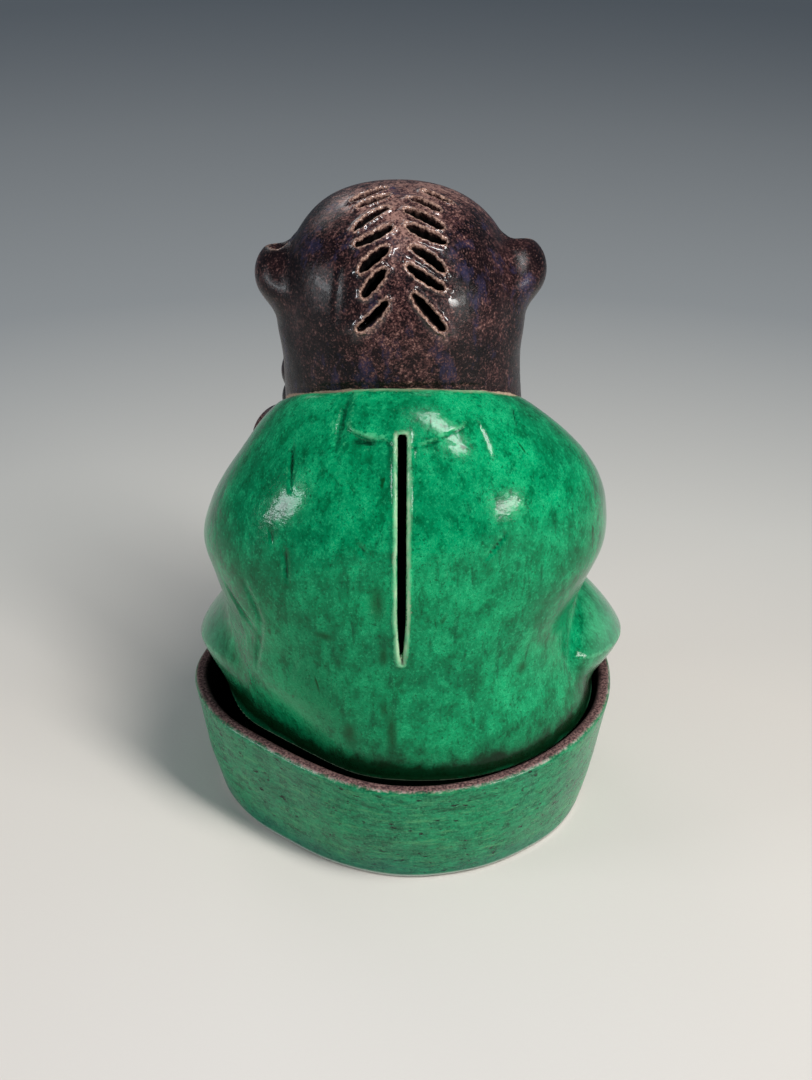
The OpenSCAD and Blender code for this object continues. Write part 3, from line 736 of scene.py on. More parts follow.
def field_of(form, lo, hi, step, block=4):
    """A form's values on a grid over a box: exact near the skin, and one to a block elsewhere"""
    counts = np.ceil((hi - lo) / step / block).astype(int) * block + 1
    axes = [low + step * np.arange(count) for low, count in zip(lo, counts)]

    def values(index):
        """The form's values at numbered places of the grid"""
        return in_batches(form, np.stack([axis[i] for axis, i in zip(axes, index)], axis=1))

    rough_index = np.meshgrid(*[np.arange(0, count, block) for count in counts], indexing="ij")
    rough = values([index.ravel() for index in rough_index]).reshape(rough_index[0].shape)
    close = np.minimum.reduce(corners_of(np.abs(rough))) < 1.2 * block * step
    for axis in range(3):
        close = close.repeat(block, axis)
    needed = np.pad(close, [(0, 1)] * 3)
    for axis in range(3):
        needed |= np.roll(needed, 1, axis)
    field = rough[np.ix_(*[(np.arange(count) + block // 2) // block for count in counts])]
    index = np.nonzero(needed)
    field[index] = values(index)
    return field


def shifted(cells, *moves):
    """Cells of a grid moved by (axis, distance) moves"""
    cells = cells.copy()
    for axis, distance in moves:
        cells[:, axis] += distance
    return cells


def skin_of(form, lo, hi, step):
    """The skin of a form in a box, as points and four-sided faces about a step across"""
    field = field_of(form, lo, hi, step)
    inside = field < 0
    filled = np.add.reduce([corner.astype(np.uint8) for corner in corners_of(inside)])
    cells = np.argwhere((filled > 0) & (filled < 8))
    number = np.full(filled.shape, -1)
    number[tuple(cells.T)] = np.arange(len(cells))
    total, hits = np.zeros((len(cells), 3)), np.zeros(len(cells))
    faces = []
    for axis in range(3):
        u, v = (axis + 1) % 3, (axis + 2) % 3
        # Each cell's point is the middle of the places where its edges cross the skin
        for du, dv in ((0, 0), (0, 1), (1, 0), (1, 1)):
            start = shifted(cells, (u, du), (v, dv))
            end = shifted(start, (axis, 1))
            a, b = field[tuple(start.T)], field[tuple(end.T)]
            crossed = (a < 0) != (b < 0)
            place = start[crossed].astype(float)
            place[:, axis] += a[crossed] / (a[crossed] - b[crossed])
            total[crossed] += place
            hits[crossed] += 1
        # Each edge that crosses the skin has a face through the points of the four cells round it
        low = np.take(inside, range(inside.shape[axis] - 1), axis)
        high = np.take(inside, range(1, inside.shape[axis]), axis)
        edges = np.argwhere(low != high)
        quads = np.stack([number[tuple(shifted(edges, (u, -du), (v, -dv)).T)]
                          for du, dv in ((1, 1), (0, 1), (0, 0), (1, 0))], axis=1)
        outward = low[tuple(edges.T)][:, None]
        faces.append(np.where(outward, quads, quads[:, ::-1]))
    return lo + step * total / hits[:, None], np.concatenate(faces)


def smoothed(points, faces, share=0.5):
    """Points moved towards the middle of their neighbours, to even out the mesh"""
    starts, ends = faces.ravel(), np.roll(faces, -1, axis=1).ravel()
    count = np.bincount(starts, minlength=len(points)) + np.bincount(ends, minlength=len(points))
    moved = np.empty_like(points)
    for axis in range(3):
        total = (np.bincount(starts, points[ends, axis], len(points))
                 + np.bincount(ends, points[starts, axis], len(points)))
        moved[:, axis] = total / np.maximum(count, 1)
    return mix(points, moved, share)


def joined(count, starts, ends):
    """For each of a count of points, the lowest number that a chain of edges joins it to"""
    group = np.arange(count)
    changed = True
    while changed:
        lowest = np.minimum(group[starts], group[ends])
        before = group.copy()
        np.minimum.at(group, starts, lowest)
        np.minimum.at(group, ends, lowest)
        changed = not np.array_equal(before, group)
    return group


def parted(points, faces, owner, form):
    """Each owner's part of a skin, closed with clay behind its borders. Yields the owner, the
    numbers of its points, its own extra points, its faces, and how many of them are skin"""
    clay_depth = 2.0
    for who in np.unique(owner):
        mine = faces[owner == who]
        used, mine = np.unique(mine, return_inverse=True)
        mine = mine.reshape(-1, 4)
        starts, ends = mine.ravel(), np.roll(mine, -1, axis=1).ravel()
        size = len(used)
        twins = np.isin(starts * size + ends, ends * size + starts)
        rim_starts, rim_ends = starts[~twins], ends[~twins]
        border = joined(size, rim_starts, rim_ends)[rim_starts]
        extra, caps = [], []
        for loop in np.unique(border):
            on = border == loop
            extra.append(points[used][rim_starts[on]].mean(axis=0))
            apex = size + len(extra) - 1
            caps += [[int(b), int(a), apex] for a, b in zip(rim_starts[on], rim_ends[on])]
        extra = np.array(extra).reshape(-1, 3)
        if len(extra):
            extra = settled(extra, form, reach=20, level=-clay_depth, rounds=6)
        yield who, used, extra, mine.tolist() + caps, len(mine)


def wear(points, faces, normals, step):
    """Where the skin stands out and its glaze is worn, and where it is hollow, so glaze pools and shade is
    painted
    """
    full_bend, softness = 0.25, 3
    soft = points
    for _ in range(round(softness / step)):
        soft = smoothed(soft, faces, 0.7)
    bend = np.sum((soft - points) * normals, axis=1)
    return {"worn": np.clip(-bend / full_bend, 0, 1), "pooled_and_shade": np.clip(bend / full_bend, 0, 1)}


def owners(centres, form, parts, outer):
    """The number of the part that each face belongs to, or 0 for the carrier's own"""
    owner, nearest = np.zeros(len(centres), int), in_batches(form, centres)
    for number, (node_name, other, _) in enumerate(parts, start=1):
        near = near_box(centres, node_name, 8) & outer
        value = other(centres[near])
        closer = value < nearest[near]
        won = np.flatnonzero(near)[closer]
        nearest[won], owner[won] = value[closer], number
    return owner


def fire(form, carrier, parts, step, glaze, lining, extra_masks=None):
    """Skins a group of pieces as one, and hands each of them its own part of the glazed skin.
    carrier is (node, form), parts are (node, form, blend), and lining tells the hollow's side"""
    step = step
    margin = 4
    names = [carrier[0]] + [part[0] for part in parts]
    boxes = np.array([box_of(name) for name in names])
    lo, hi = boxes[:, 0].min(axis=0) - margin, boxes[:, 1].max(axis=0) + margin
    points, faces = skin_of(form, lo, hi, step)
    points = settled(points, form, 0.7 * step)
    points = settled(smoothed(points, faces), form, 0.5 * step)
    normals = slope_of(form, points)[1]
    normals /= np.linalg.norm(normals, axis=1)[:, None] + 1e-9
    masks = wear(points, faces, normals, step) | {"lining": lining(points).astype(float)}
    if extra_masks:
        masks.update(extra_masks(points))
    centres = points[faces].mean(axis=1)
    owner = owners(centres, carrier[1] or form, parts, ~lining(centres))
    for who, used, extra, made, skin_count in parted(points, faces, owner, form):
        own = np.concatenate([points[used], extra])
        corners = own[np.array(made[skin_count:], int).reshape(-1, 3)]
        flat = np.cross(corners[:, 1] - corners[:, 0], corners[:, 2] - corners[:, 0])
        flat /= np.linalg.norm(flat, axis=1)[:, None] + 1e-9
        skin_normals = normals[used][np.array(made[:skin_count]).ravel()]
        own_masks = {mask: np.concatenate([whole[used], np.zeros(len(extra))])
                     for mask, whole in masks.items()}
        finish_piece(names[who], own, made, glaze, [names[who]], "figure", own_masks,
                     np.concatenate([skin_normals, flat.repeat(3, axis=0)]))


sides = ((1, "left"), (-1, "right"))
robe_parts = [("collar_tab", collar_tab, 1.2)]
for side, hand in sides:
    robe_parts += [
        ("haunch_" + hand, lambda p, side=side: haunch(p, side), 7 if side > 0 else 3),
        ("foreleg_" + hand, lambda p, side=side: foreleg(p, side), 4),
        ("forepaw_" + hand, lambda p, side=side: forepaw(p, side), 1.5),
        ("hind_paw_" + hand, lambda p, side=side: hind_paw(p, side), 1.5)]


def robe(p):
    """The whole green figure, hollow, with its slot"""
    return larger(worked_together(p, robe_body, robe_parts), -body_hollow(p), 0.8)


def robe_glaze():
    """A glossy green, mottled and crackled, that ends over a foot of bare clay"""
    material, tree, shader = new_material("robe_glaze")
    place = node(tree, "TexCoord").outputs["Object"]
    xyz = node(tree, "SeparateXYZ", {"Vector": place}).outputs
    z = xyz["Z"]
    aside = node(tree, "Math", {0: xyz["X"]}, operation="ABSOLUTE").outputs["Value"]
    broad = noise(place, 34, 3, 0.6, 0.4)
    mottle = noise(stretched(place, 0.7), 5, 8, 0.74, 0.2)
    brushed = noise(stretched(place, 0.22), 2.6, 5, 0.7)
    stroke = noise(stretched(place, 0.3), 4.2, 2, 0.5, 0.5)
    crackle = noise(place, 1.3, 3, 0.6, 1.2)
    speck = noise(place, 0.75, 2, 0.5)
    # The green is dark where it lies thick, and pale where it is thin
    colour = mixed(between(broad, 0.38, 0.62), srgb(0, 108, 67), srgb(0, 139, 86))
    colour = laid(colour, srgb(0, 80, 48), brushed, (0.32, 0.8), (0.46, 0))
    colour = laid(colour, srgb(0, 76, 42), mottle, (0.36, 0.75), (0.50, 0))
    colour = laid(colour, srgb(0, 164, 104), mottle, (0.53, 0), (0.68, 0.55))
    # The crackle's pale lines show most where the green is thin
    thin = between(sums(mottle, (broad, 0.4), (speck, 0.25)), 0.78, 1.0)
    lines = ramp(crackle, (0.45, 0), (0.485, 0.45), (0.515, 0.45), (0.55, 0))
    colour = mixed(mixed(thin, 0, lines), colour, srgb(60, 190, 130))
    colour = laid(colour, srgb(40, 172, 114), speck, (0.60, 0), (0.72, 0.4))
    colour = laid(colour, srgb(0, 62, 34), speck, (0.30, 0.6), (0.40, 0))
    # Dark brush strokes and smeared marks, a broad painted shade low on the back's left, glaze pooling
    # in the hollows along with painted shade there, and glaze worn off the edges
    colour = laid(colour, srgb(4, 54, 20), stroke, (0.23, 0.85), (0.29, 0))
    smear_and_shade = sums(mask_of(tree, "smears"), (mottle, 1.5), (speck, 0.3))
    colour = laid(colour, srgb(6, 40, 2), between(smear_and_shade, 1.1, 2.1), (0, 0), (1, 0.9))
    # Darker in the hollows: glaze pooling there, and painted shade
    pooled_and_shade = sums(mask_of(tree, "pooled_and_shade"), (mottle, -0.5))
    colour = laid(colour, srgb(0, 40, 22), pooled_and_shade, (0.0, 0), (0.55, 0.95))
    worn = sums(mask_of(tree, "worn"), (mottle, 1.2), (speck, 0.8))
    colour = laid(colour, srgb(104, 190, 138), between(worn, 1.35, 2.2), (0, 0), (1, 0.7))
    # Pale lips round the slot, a pale band under the neckline, and paler knees
    lip = between(sums(mask_of(tree, "slot_away"), (mottle, 2.2), (speck, 0.9)), 1.0, 4.0)
    lip = ramp(lip, (0.16, 0), (0.24, 0.75), (0.33, 0.6), (0.62, 0))
    lip = mixed(ramp(brushed, (0.40, 0.15), (0.60, 1)), 0, lip)
    colour = mixed(lip, colour, srgb(190, 212, 174))
    neckline = sums(mask_of(tree, "neck_down"), (mottle, 2.0), (speck, 0.8))
    colour = laid(colour, srgb(160, 188, 146), between(neckline, 2.0, 1.2), (0, 0), (1, 0.7))
    knee = between(sums(aside, (mottle, 8 * mm), (z, -0.10)), 48 * mm, 58 * mm)
    colour = laid(colour, srgb(112, 160, 132), knee, (0, 0), (1, 0.45))
    # Painted shade over the lower robe, darkest just above the hem; a pale line painted along the hem's
    # ridge as a highlight; a near-black painted shadow under the hem; and the bare clay of the foot under
    # that
    low = sums(z, (mottle, 6 * mm), (broad, 12 * mm))
    low = between(low, (hem_z + 9) * mm, (hem_z + 25) * mm)
    colour = laid(colour, srgb(4, 24, 7), low, (0, 0.6), (0.14, 0.98), (0.38, 0.94), (0.6, 0.45), (1, 0))
    # A painted highlight: a pale line along the hem's ridge
    ridge = between(z, (hem_z - 0.5) * mm, (hem_z + 1.5) * mm)
    colour = laid(colour, srgb(158, 184, 150), ridge, (0.12, 0), (0.28, 0.85), (0.42, 0.85), (0.62, 0))
    # A painted shadow: near black just under the hem, over the gap to the dish
    colour = mixed(between(z, hem_z * mm, (hem_z - 0.3) * mm), colour, srgb(6, 30, 14))
    bare = between(sums(z, (mottle, 6 * mm)), (hem_z - 3) * mm, (hem_z - 6) * mm)
    colour = mixed(bare, colour, mixed(mottle, srgb(84, 66, 52), srgb(158, 132, 108)))
    clay = mixed(noise(place, 2), srgb(46, 40, 34), srgb(88, 76, 62))
    colour = mixed(mask_of(tree, "lining"), colour, clay)
    rough = mixed(bare, ramp(mottle, (0.3, 0.12), (0.8, 0.26)), 0.85)
    rough = mixed(mask_of(tree, "lining"), rough, 0.8)
    normal = add_bump(noise(place, 9, 3), 0.35)
    normal = add_bump(mottle, 0.10, normal)
    rippled = add_bump(noise(stretched(place, 1.6), 2.6, 3, 0.6), 0.09)
    connect(shader, {"Base Color": colour, "Roughness": rough, "Normal": normal,
                     "Specular IOR Level": 0.06, "Coat Weight": mixed(bare, 0.22, 0),
                     "Coat Roughness": 0.04, "Coat Normal": rippled})
    return material


def inside_body(p):
    """Which points are on the hollow's side of the wall"""
    return body_outside(p) < -1.5


# The dark marks on the back: each one's place across and up, and how wide and how high it is
smear_marks = [(7.7, 94.8, 2.3, 6.0), (6.1, 77.9, 1.3, 3.4), (4.0, 52, 1.6, 8.5), (15.7, 49.5, 2.1, 5.0),
               (21.9, 82.1, 3.0, 1.4), (6.0, 60, 1.2, 3.6), (-32, 66, 1.6, 2.2)]


def smears(p):
    """Where the glaze ran dark on the back, in a few thumb-wide marks, and one broad faint area of painted
    shade low on the left
    """
    marks = [np.exp(-((p[:, 0] - x) / w) ** 2 - ((p[:, 2] - z) / h) ** 2) for x, z, w, h in smear_marks]
    painted_shade = 0.42 * np.exp(-((p[:, 0] - 25) / 13) ** 2 - ((p[:, 2] - 60) / 16) ** 2)
    return np.maximum(np.max(marks, axis=0), painted_shade) * (p[:, 1] > 0)


def robe_masks(p):
    """How far out from the slot each point is, how far down from the neckline, and how smeared or painted in
    shade
    """
    return {"slot_away": np.clip(back_slot(p), -2, 6), "neck_down": np.clip(neck_z - body_section(p), -2, 9),
            "smears": smears(p)}


fire(robe, ("body_shell", robe_body), robe_parts, 0.9, robe_glaze(), inside_body,
     extra_masks=robe_masks)


# ---- The head ----------------------------------------------------------------------------------
# A hollow clay head on a wide neck, luted into the robe's neckline along a line of bare clay.
# Two columns of slots are cut over its back and crown with a knife, on each side of a plain rib,
# and the glaze has rolled back from their edges. The ears are cupped and smoothed down the neck.

head_wall, head_w, crown_squareness = 4.5, (head_hi[0] - head_lo[0]) / 2, 2.32
head_slot_l, head_slot_w, rib_w = 11.5, 2.5, 2.0
# Each slot from the nape up: its height and slant in degrees, its share of the length, its shift out
left_cuts = [(18, 46, 1.0, 0), (34, 49, 0.8, 0), (45, 39, 0.85, 0), (56, 27, 0.95, -0.2),
             (67.5, 38, 1.0, 1), (80, 30, 0.85, 0), (88, 36, 1.02, 1.2)]
right_cuts = [(20, 50, 1.12, 0), (36, 31, 1.0, -1.1), (45.5, 35, 0.92, 0), (57, 23, 0.97, -1),
              (66.5, 30, 1.02, -1.3), (77.5, 32, 0.85, -1.1), (87, 32, 0.78, 1.8)]
ear_z, ear_reach = temple_z + 7, head_w + 5.9
knob_half, cup_half, cup_lean = (6.6, 7.6, 7.6), (4.0, 6, 3.6), -25
band_h, ledge_out = 4.2, 0.5


def head_section(p):
    """Which section of the head each point is on: on the neck they rise towards the nape"""
    lift = slope / (temple_z - neck_z)
    return np.where(p[:, 2] > temple_z, p[:, 2],
                    (p[:, 2] - lift * temple_z * p[:, 1]) / np.maximum(1 - lift * p[:, 1], 0.2))


def head_outside(p, shrink=0):
    """Distance out from the head, ignoring where the neck ends"""
    h = head_section(p)
    neck = np.clip(h, neck_z - 6, temple_z)
    x, y, over = p[:, 0] - lean(h), p[:, 1], np.maximum(h - temple_z, 0)
    share = (neck - neck_z) / (temple_z - neck_z)
    w = mix(neck_w, head_w, share) - shrink
    brow = mix(nape_share, 1, np.clip(2 * (neck - neck_z) / (crown_z - neck_z), 0, 1))
    out = oval(x, y, w - 1.5 * share, w * nape_share, w * brow)
    out = (out ** crown_squareness
           + (over / (crown_z - temple_z - shrink)) ** crown_squareness) ** (1 / crown_squareness)
    return np.sqrt(x * x + y * y + over * over) * (1 - 1 / np.maximum(out, 0.02))


def head_slot_places():
    """Each slot's place, its direction along and across, the way it is cut, and its length"""
    places = []
    for side, cuts in ((-1, right_cuts), (1, left_cuts)):
        for up, turn, share, shift in cuts:
            up, turn = math.radians(up), math.radians(turn)
            out = np.array((0, math.cos(up), math.sin(up)))
            rise = np.array((0, -math.sin(up), math.cos(up)))
            across = np.array((side, 0, 0))
            at = (np.array((float(lean(temple_z)), 0, temple_z - 0.06 * head_w))
                  + 0.55 * head_w * out + (rib_w + 0.45 * head_slot_l + shift) * across)
            along = math.cos(turn) * across - math.sin(turn) * rise
            places.append((at, along, np.cross(along, out), out, head_slot_l * share))
    return places


def head_slots(p):
    """Distance out from the nearest slot's outline, a lens cut straight through the wall"""
    nearest = np.full(len(p), far_off)
    for number, (at, along, across, out, length) in enumerate(head_slot_places()):
        q = p - at
        deep = q @ out
        near = (deep > 0) & (np.abs(q @ along) < 12)
        u, v = (q @ along)[near], (q @ across)[near]
        half_l, half_w = length / 2, head_slot_w / 2 * (1 + 0.12 * math.sin(5 * number))
        v = v + 0.5 * (u / half_l) ** 2 * math.sin(2.4 * number)
        shares = np.stack([u / half_l, v / half_w], axis=1)
        reach = np.sqrt(np.abs(shares[:, 0]) ** 2.4 + shares[:, 1] ** 2) + 1e-6
        steep = np.hypot(shares[:, 0] / half_l, shares[:, 1] / half_w) / reach
        ragged = 0.10 * np.sin(2.1 * u + 2 * number) + 0.06 * np.sin(3.3 * u - number) * np.sign(v)
        nearest[near] = np.minimum(nearest[near], (reach - 1) / np.maximum(steep, 0.05) + ragged)
    return nearest


# The knife strokes down the left of the back of the head: from, to, depth and width
head_strokes = [((17, 22, 176), (19, 27, 160), 0.22, 1.2), ((14.5, 20, 181), (17, 22, 172), 0.2, 1.0)]


def head(p):
    """The head's outside: rolled edges round the slots, a ledge over the neck band, knife strokes"""
    form = head_outside(p) + 0.8 * ripple(p[:, [1, 2, 0]])
    slots = head_slots(p)
    lumpy = 1 + 0.15 * np.sin(p[:, 0] * 1.1 + p[:, 2] * 0.7) * np.sin(p[:, 2] * 1.3 - 0.6 * p[:, 0])
    form = form - 0.5 * lumpy * hump(slots, 0.6, 0.5)
    up = head_section(p) - neck_z
    back = np.clip(p[:, 1] / 10, 0, 1)
    form = form + ledge_out * back / (1 + np.exp((up - band_h) / 0.35)) * hump(p[:, 0], 2, 22)
    for start, end, depth, width in head_strokes:
        form = form + line_dent(p, start, end, depth, width)
    return larger(form, -2 - up, 0.8)


def head_hollow(p):
    """The room inside the head, cut through by the slots, which narrow a little inwards"""
    return smaller(head_outside(p, head_wall), head_slots(p) + 0.15 * np.clip(-head_outside(p), 0, 6), 0.4)


def ear(p, side):
    """A pressed knob, cupped in front and on top, drawn out into a long root down the neck"""
    q = from_side(p, side, ear_z)
    z = ear_z + 1.6 - 0.6 * side
    knob = ellipsoid(q, (ear_reach - knob_half[0], -2, z), knob_half)
    broad = (q - np.array((0, -2, 0))) * np.array((1, 0.55, 1))
    root = limb(broad, [((ear_reach - 8, 0, z - 3), 6.2), ((head_w - 6.2, 0, z - 16), 5.4),
                        ((head_w - 9, 0, z - 32), 4)])
    form = smaller(knob, root, 6)
    cup = ellipsoid(q, (ear_reach - 7.5, -6 + 1.6 * side, z + 6.8), cup_half, lean_over=cup_lean)
    return larger(form, -cup, 1.6)


# ---- The face ----------------------------------------------------------------------------------
# A broad snout and a lower jaw are luted on in front, with the mouth left open between them. The
# nose, brows and eyeballs are small pressed lumps, tooled while the clay was leather-hard.

face_y, lip_z, chin_z = -head_w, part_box("muzzle")[0][2] / mm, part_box("lower_jaw")[1][2] / mm
muzzle_w, muzzle_h, muzzle_y = 23, 19, -50
jaw_w, jaw_h, jaw_y = 19, 12, -45
nose_r, nose_z, eye_r, eye_x, eye_z = 5, lip_z + 15, 7.5, 14, lip_z + 23.5
brow_z = eye_z + 1.4 * eye_r


def from_lip(p):
    """Points as seen from the middle of the face"""
    return from_side(p, 1, lip_z)


def muzzle(p):
    """The snout and two cheeks, with whisker pits, a parting under the nose and a curled lip"""
    q = from_lip(p)
    form = ellipsoid(q, (0, face_y + 6, lip_z + 0.45 * muzzle_h), (muzzle_w, 10, 0.55 * muzzle_h))
    for side in (-1, 1):
        cheek = ellipsoid(q, (11.5 * side, muzzle_y + 9.5, lip_z + 0.35 * muzzle_h), (11, 9.4, 8.4))
        form = smaller(form, cheek, 7)
    whiskers = np.sin(q[:, 0] * 1.15) * np.sin(q[:, 2] * 1.15) * np.clip((lip_z + 9 - q[:, 2]) / 4, 0, 1)
    form = form + 0.30 * whiskers * np.clip(-q[:, 1] / 10 - 3.6, 0, 1)
    form = form + 0.8 * hump(q[:, 0], 0, 0.9) * np.clip(-q[:, 1] / 6 - 6.5, 0, 1)
    curl = 0.9 * hump(q[:, 2] - lip_z, 1.2, 1.5)
    return larger(form - curl, lip_z + 0.012 * q[:, 0] ** 2 - q[:, 2], 1.2)


def nose(p):
    """The nose's tip and bridge, its two wings with their nostrils, and three wrinkles above"""
    q = from_lip(p)
    form = ellipsoid(q, (0, muzzle_y + 0.5, nose_z), (nose_r, 0.9 * nose_r, nose_r))
    form = smaller(form, limb(q, [((0, muzzle_y + 1, nose_z + 1), 4.4), ((0, face_y, nose_z + 7), 4)]), 2)
    for side in (-1, 1):
        form = smaller(form, ellipsoid(q, (5.5 * side, muzzle_y + 1.5, nose_z - 1), (5, 5, 4.2)), 1.6)
    for side in (-1, 1):
        form = larger(form, -ellipsoid(q, (5.2 * side, muzzle_y - 3.2, nose_z - 2), (2.2, 2.8, 1.7)), 0.8)
    for z in (4, 6.5, 9):
        form = form + 0.35 * hump(q[:, 2] - nose_z - z + 0.35 * np.abs(q[:, 0]), 0, 0.7)
    return form


def lower_jaw(p):
    """The jaw and a chin in front of it, flat on top, with a trough for the tongue"""
    q = from_lip(p)
    form = ellipsoid(q, (0, face_y + 7, chin_z - 0.35 * jaw_h), (jaw_w, 10, 0.65 * jaw_h))
    chin = ellipsoid(q, (0, jaw_y + 9, chin_z - 0.2 * jaw_h), (0.8 * jaw_w, 9, 0.55 * jaw_h))
    form = smaller(form, chin, 5)
    trough = ellipsoid(q, (0, jaw_y + 13, chin_z + 1), (11, 11.5, 2.6))
    return larger(larger(form, q[:, 2] - chin_z - 0.01 * q[:, 0] ** 2, 1.2), -trough, 1.0)


def brow(p, side):
    """A roll laid over the eye, tooled into locks of hair"""
    q = from_lip(p)
    q[:, 0] *= side
    roll = limb(q, [((4.6, face_y - 1, brow_z - 4), 4.2), ((eye_x - 2, face_y - 1.5, brow_z), 4.8),
                    ((eye_x + 6, face_y + 3.5, brow_z - 2), 4.8),
                    ((eye_x + 10, face_y + 9, brow_z - 9), 4)], 2)
    along = np.arctan2(q[:, 2] - eye_z, q[:, 0] - eye_x)
    roll = roll + 0.45 * np.cos(9 * along) * np.clip((q[:, 2] - eye_z) / 6, 0, 1)
    socket = ellipsoid(q, (eye_x, face_y + 2, eye_z), (eye_r + 0.4, eye_r + 0.4, eye_r + 0.4))
    return larger(roll, -socket, 0.6)


# ---- The tongue and the teeth ------------------------------------------------------------------
# A flat tongue with a groove down its middle, and fangs and small pegs of clay for the teeth,
# pushed into the soft lips one by one.

tooth_r, tooth_pitch = 1.5, 3.05
fang_gum, fang_tip = (12.6, -36.6, lip_z + 1.5), (12.3, -37.2, chin_z - 0.5)


def tongue(p):
    """A flat oval, grooved and dimpled on top"""
    q = from_lip(p)
    form = ellipsoid(q, (0, jaw_y + 13, chin_z - 0.2), (8.6, 12.2, 3.6))
    form = form + 0.6 * hump(q[:, 0], 0, 1.0) + 0.12 * np.sin(q[:, 1] * 2.1) * np.cos(q[:, 0] / 3)
    return larger(larger(form, chin_z - 0.8 - q[:, 2], 0.6), -1 - head_outside(p), 0.6)


def teeth(p):
    """A long fang at each side, and seven pegs between them on the curve of the lip"""
    q = from_lip(p)
    form = np.full(len(p), far_off)
    for side in (-1, 1):
        turned = np.array((side, 1, 1))
        form = np.minimum(form, limb(q, [(turned * fang_gum, 2.3), (turned * fang_tip, 0.9)]))
    for k in range(-3, 4):
        at = (tooth_pitch * k, jaw_w * (0.135 + 0.0185 * k * k) + jaw_y, lip_z + 1)
        tip = (at[0], at[1] + 0.3, lip_z - 2 * tooth_r + 1 + 0.25 * math.sin(3 * k))
        form = np.minimum(form, limb(q, [(at, tooth_r * 1.02), (tip, tooth_r * 0.45)]))
    return form


# ---- The eyes ----------------------------------------------------------------------------------
# Balls of clay, set with slip into the sockets under the brows. Each one's pupil is pressed in by
# a blunt stick and painted dark, and looks a little outwards.

pupil_r = 2.5
gaze = np.array((0.22, -0.97, -0.05))


def pupils(p):
    """Distance from the middle of the nearer pupil, in millimetres"""
    q = from_lip(p)
    at = np.array((eye_x, face_y + 2, eye_z)) + eye_r * gaze
    return np.linalg.norm(np.stack([np.abs(q[:, 0]), q[:, 1], q[:, 2]], axis=1) - at, axis=1)


def eye(p, side):
    """An eyeball, cut off inside the head, with its pupil pressed in and a raised ring round it"""
    q = from_side(p, side, lip_z)
    ball = ellipsoid(q, (eye_x, face_y + 2, eye_z), (eye_r, eye_r, eye_r))
    away = pupils(p)
    ball = ball + 0.7 / (1 + np.exp((away - pupil_r) / 0.25)) - 0.2 * hump(away - pupil_r, 0.9, 0.6)
    return larger(ball, -1.5 - head_outside(p), 0.6)


# ---- The mane and the beard --------------------------------------------------------------------
# Balls of clay pressed on in rows from the cheeks to the shoulders and under the jaw, each one
# tooled with a spiral so that it reads as a curl of hair.

curl_r, mane_turn = 9, 35
# Each curl's place across and back in half-widths of the head, its height over the neckline in
# curl radii, and its own share of that radius, from the cheek down
mane_curls = [(0.72, -0.645, 2.44, 0.89), (0.735, -0.705, 1, 0.95), (0.765, -0.83, -0.33, 1),
              (0.765, -1.04, -1.67, 1.05), (1.01, -0.92, -3, 1.17)]
beard_curls = [(-0.37, -1.165, -2.1, 1), (0.37, -1.165, -2.1, 1), (0, -1.29, -2.45, 1.05),
               (-0.28, -1.29, -3.33, 0.95), (0.28, -1.29, -3.33, 0.95), (0, -1.38, -4.2, 0.95)]


def curls(q, places, turn):
    """Balls turned by some degrees, each with a spiral that winds the other way from the last"""
    form = np.full(len(q), far_off)
    c, s = math.cos(math.radians(turn)), math.sin(math.radians(turn))
    for number, (x, y, z, share) in enumerate(places):
        r = share * curl_r
        centre = (x * head_w, y * head_w, neck_z + z * curl_r)
        ball = ellipsoid(q, centre, (r, 0.8 * r, r), turn=turn)
        away = q - np.array(centre)
        u, v = c * away[:, 0] + s * away[:, 1], away[:, 2]
        way = 1 if number % 2 else -1
        groove = np.cos(2 * math.pi * np.hypot(u, v) / (0.36 * r) - way * np.arctan2(v, u))
        fade = np.clip(1.15 - np.hypot(u, v) / r, 0, 1) ** 0.5
        form = smaller(form, ball + 0.55 * fade * groove, 0.9)
    return form


def mane(p, side):
    """A row of curls down one side, of which the left is pressed on further out than the right"""
    further_out = 1.6 if side > 0 else -0.8
    return curls(from_side(p, side, neck_z) - (further_out, 0, 0), mane_curls, mane_turn)


def beard(p):
    """Two curls under the jaw, and rows of one, two and one below them"""
    return curls(from_lip(p), beard_curls, 0)


# ---- The head is worked together and skinned ---------------------------------------------------
# The ears, face and mane are luted to the head, and the whole takes a manganese glaze: almost
# black where it is thick, and speckled with tan where it has broken over the clay's edges.

head_parts = [("muzzle", muzzle, 3.5), ("nose", nose, 1.2), ("lower_jaw", lower_jaw, 3)]
for side, hand in sides:
    head_parts += [("ear_" + hand, lambda p, side=side: ear(p, side), 4.2),
                   ("brow_" + hand, lambda p, side=side: brow(p, side), 1.5),
                   ("mane_" + hand, lambda p, side=side: mane(p, side), 1.5)]
head_parts.append(("beard", beard, 1.2))


def head_and_mane(p):
    """The whole dark head, hollow, with its slots"""
    return larger(worked_together(p, head, head_parts), -head_hollow(p), 0.6)


def inside_head(p):
    """Which points are on the hollow's side of the wall"""
    return head_outside(p) < -1.3


def head_masks(p):
    """How far up from the neckline each point is, and how far out from the slots"""
    up = head_section(p) - neck_z + 0.3 * np.sin(p[:, 0] / 3.1) + 0.2 * np.sin(p[:, 0] / 1.3)
    up = up + np.where(np.abs(head_outside(p)) < 2.5, 0, 9)
    return {"neck_up": np.clip(up, -2, 9), "slot_away": np.clip(head_slots(p), -2, 6)}


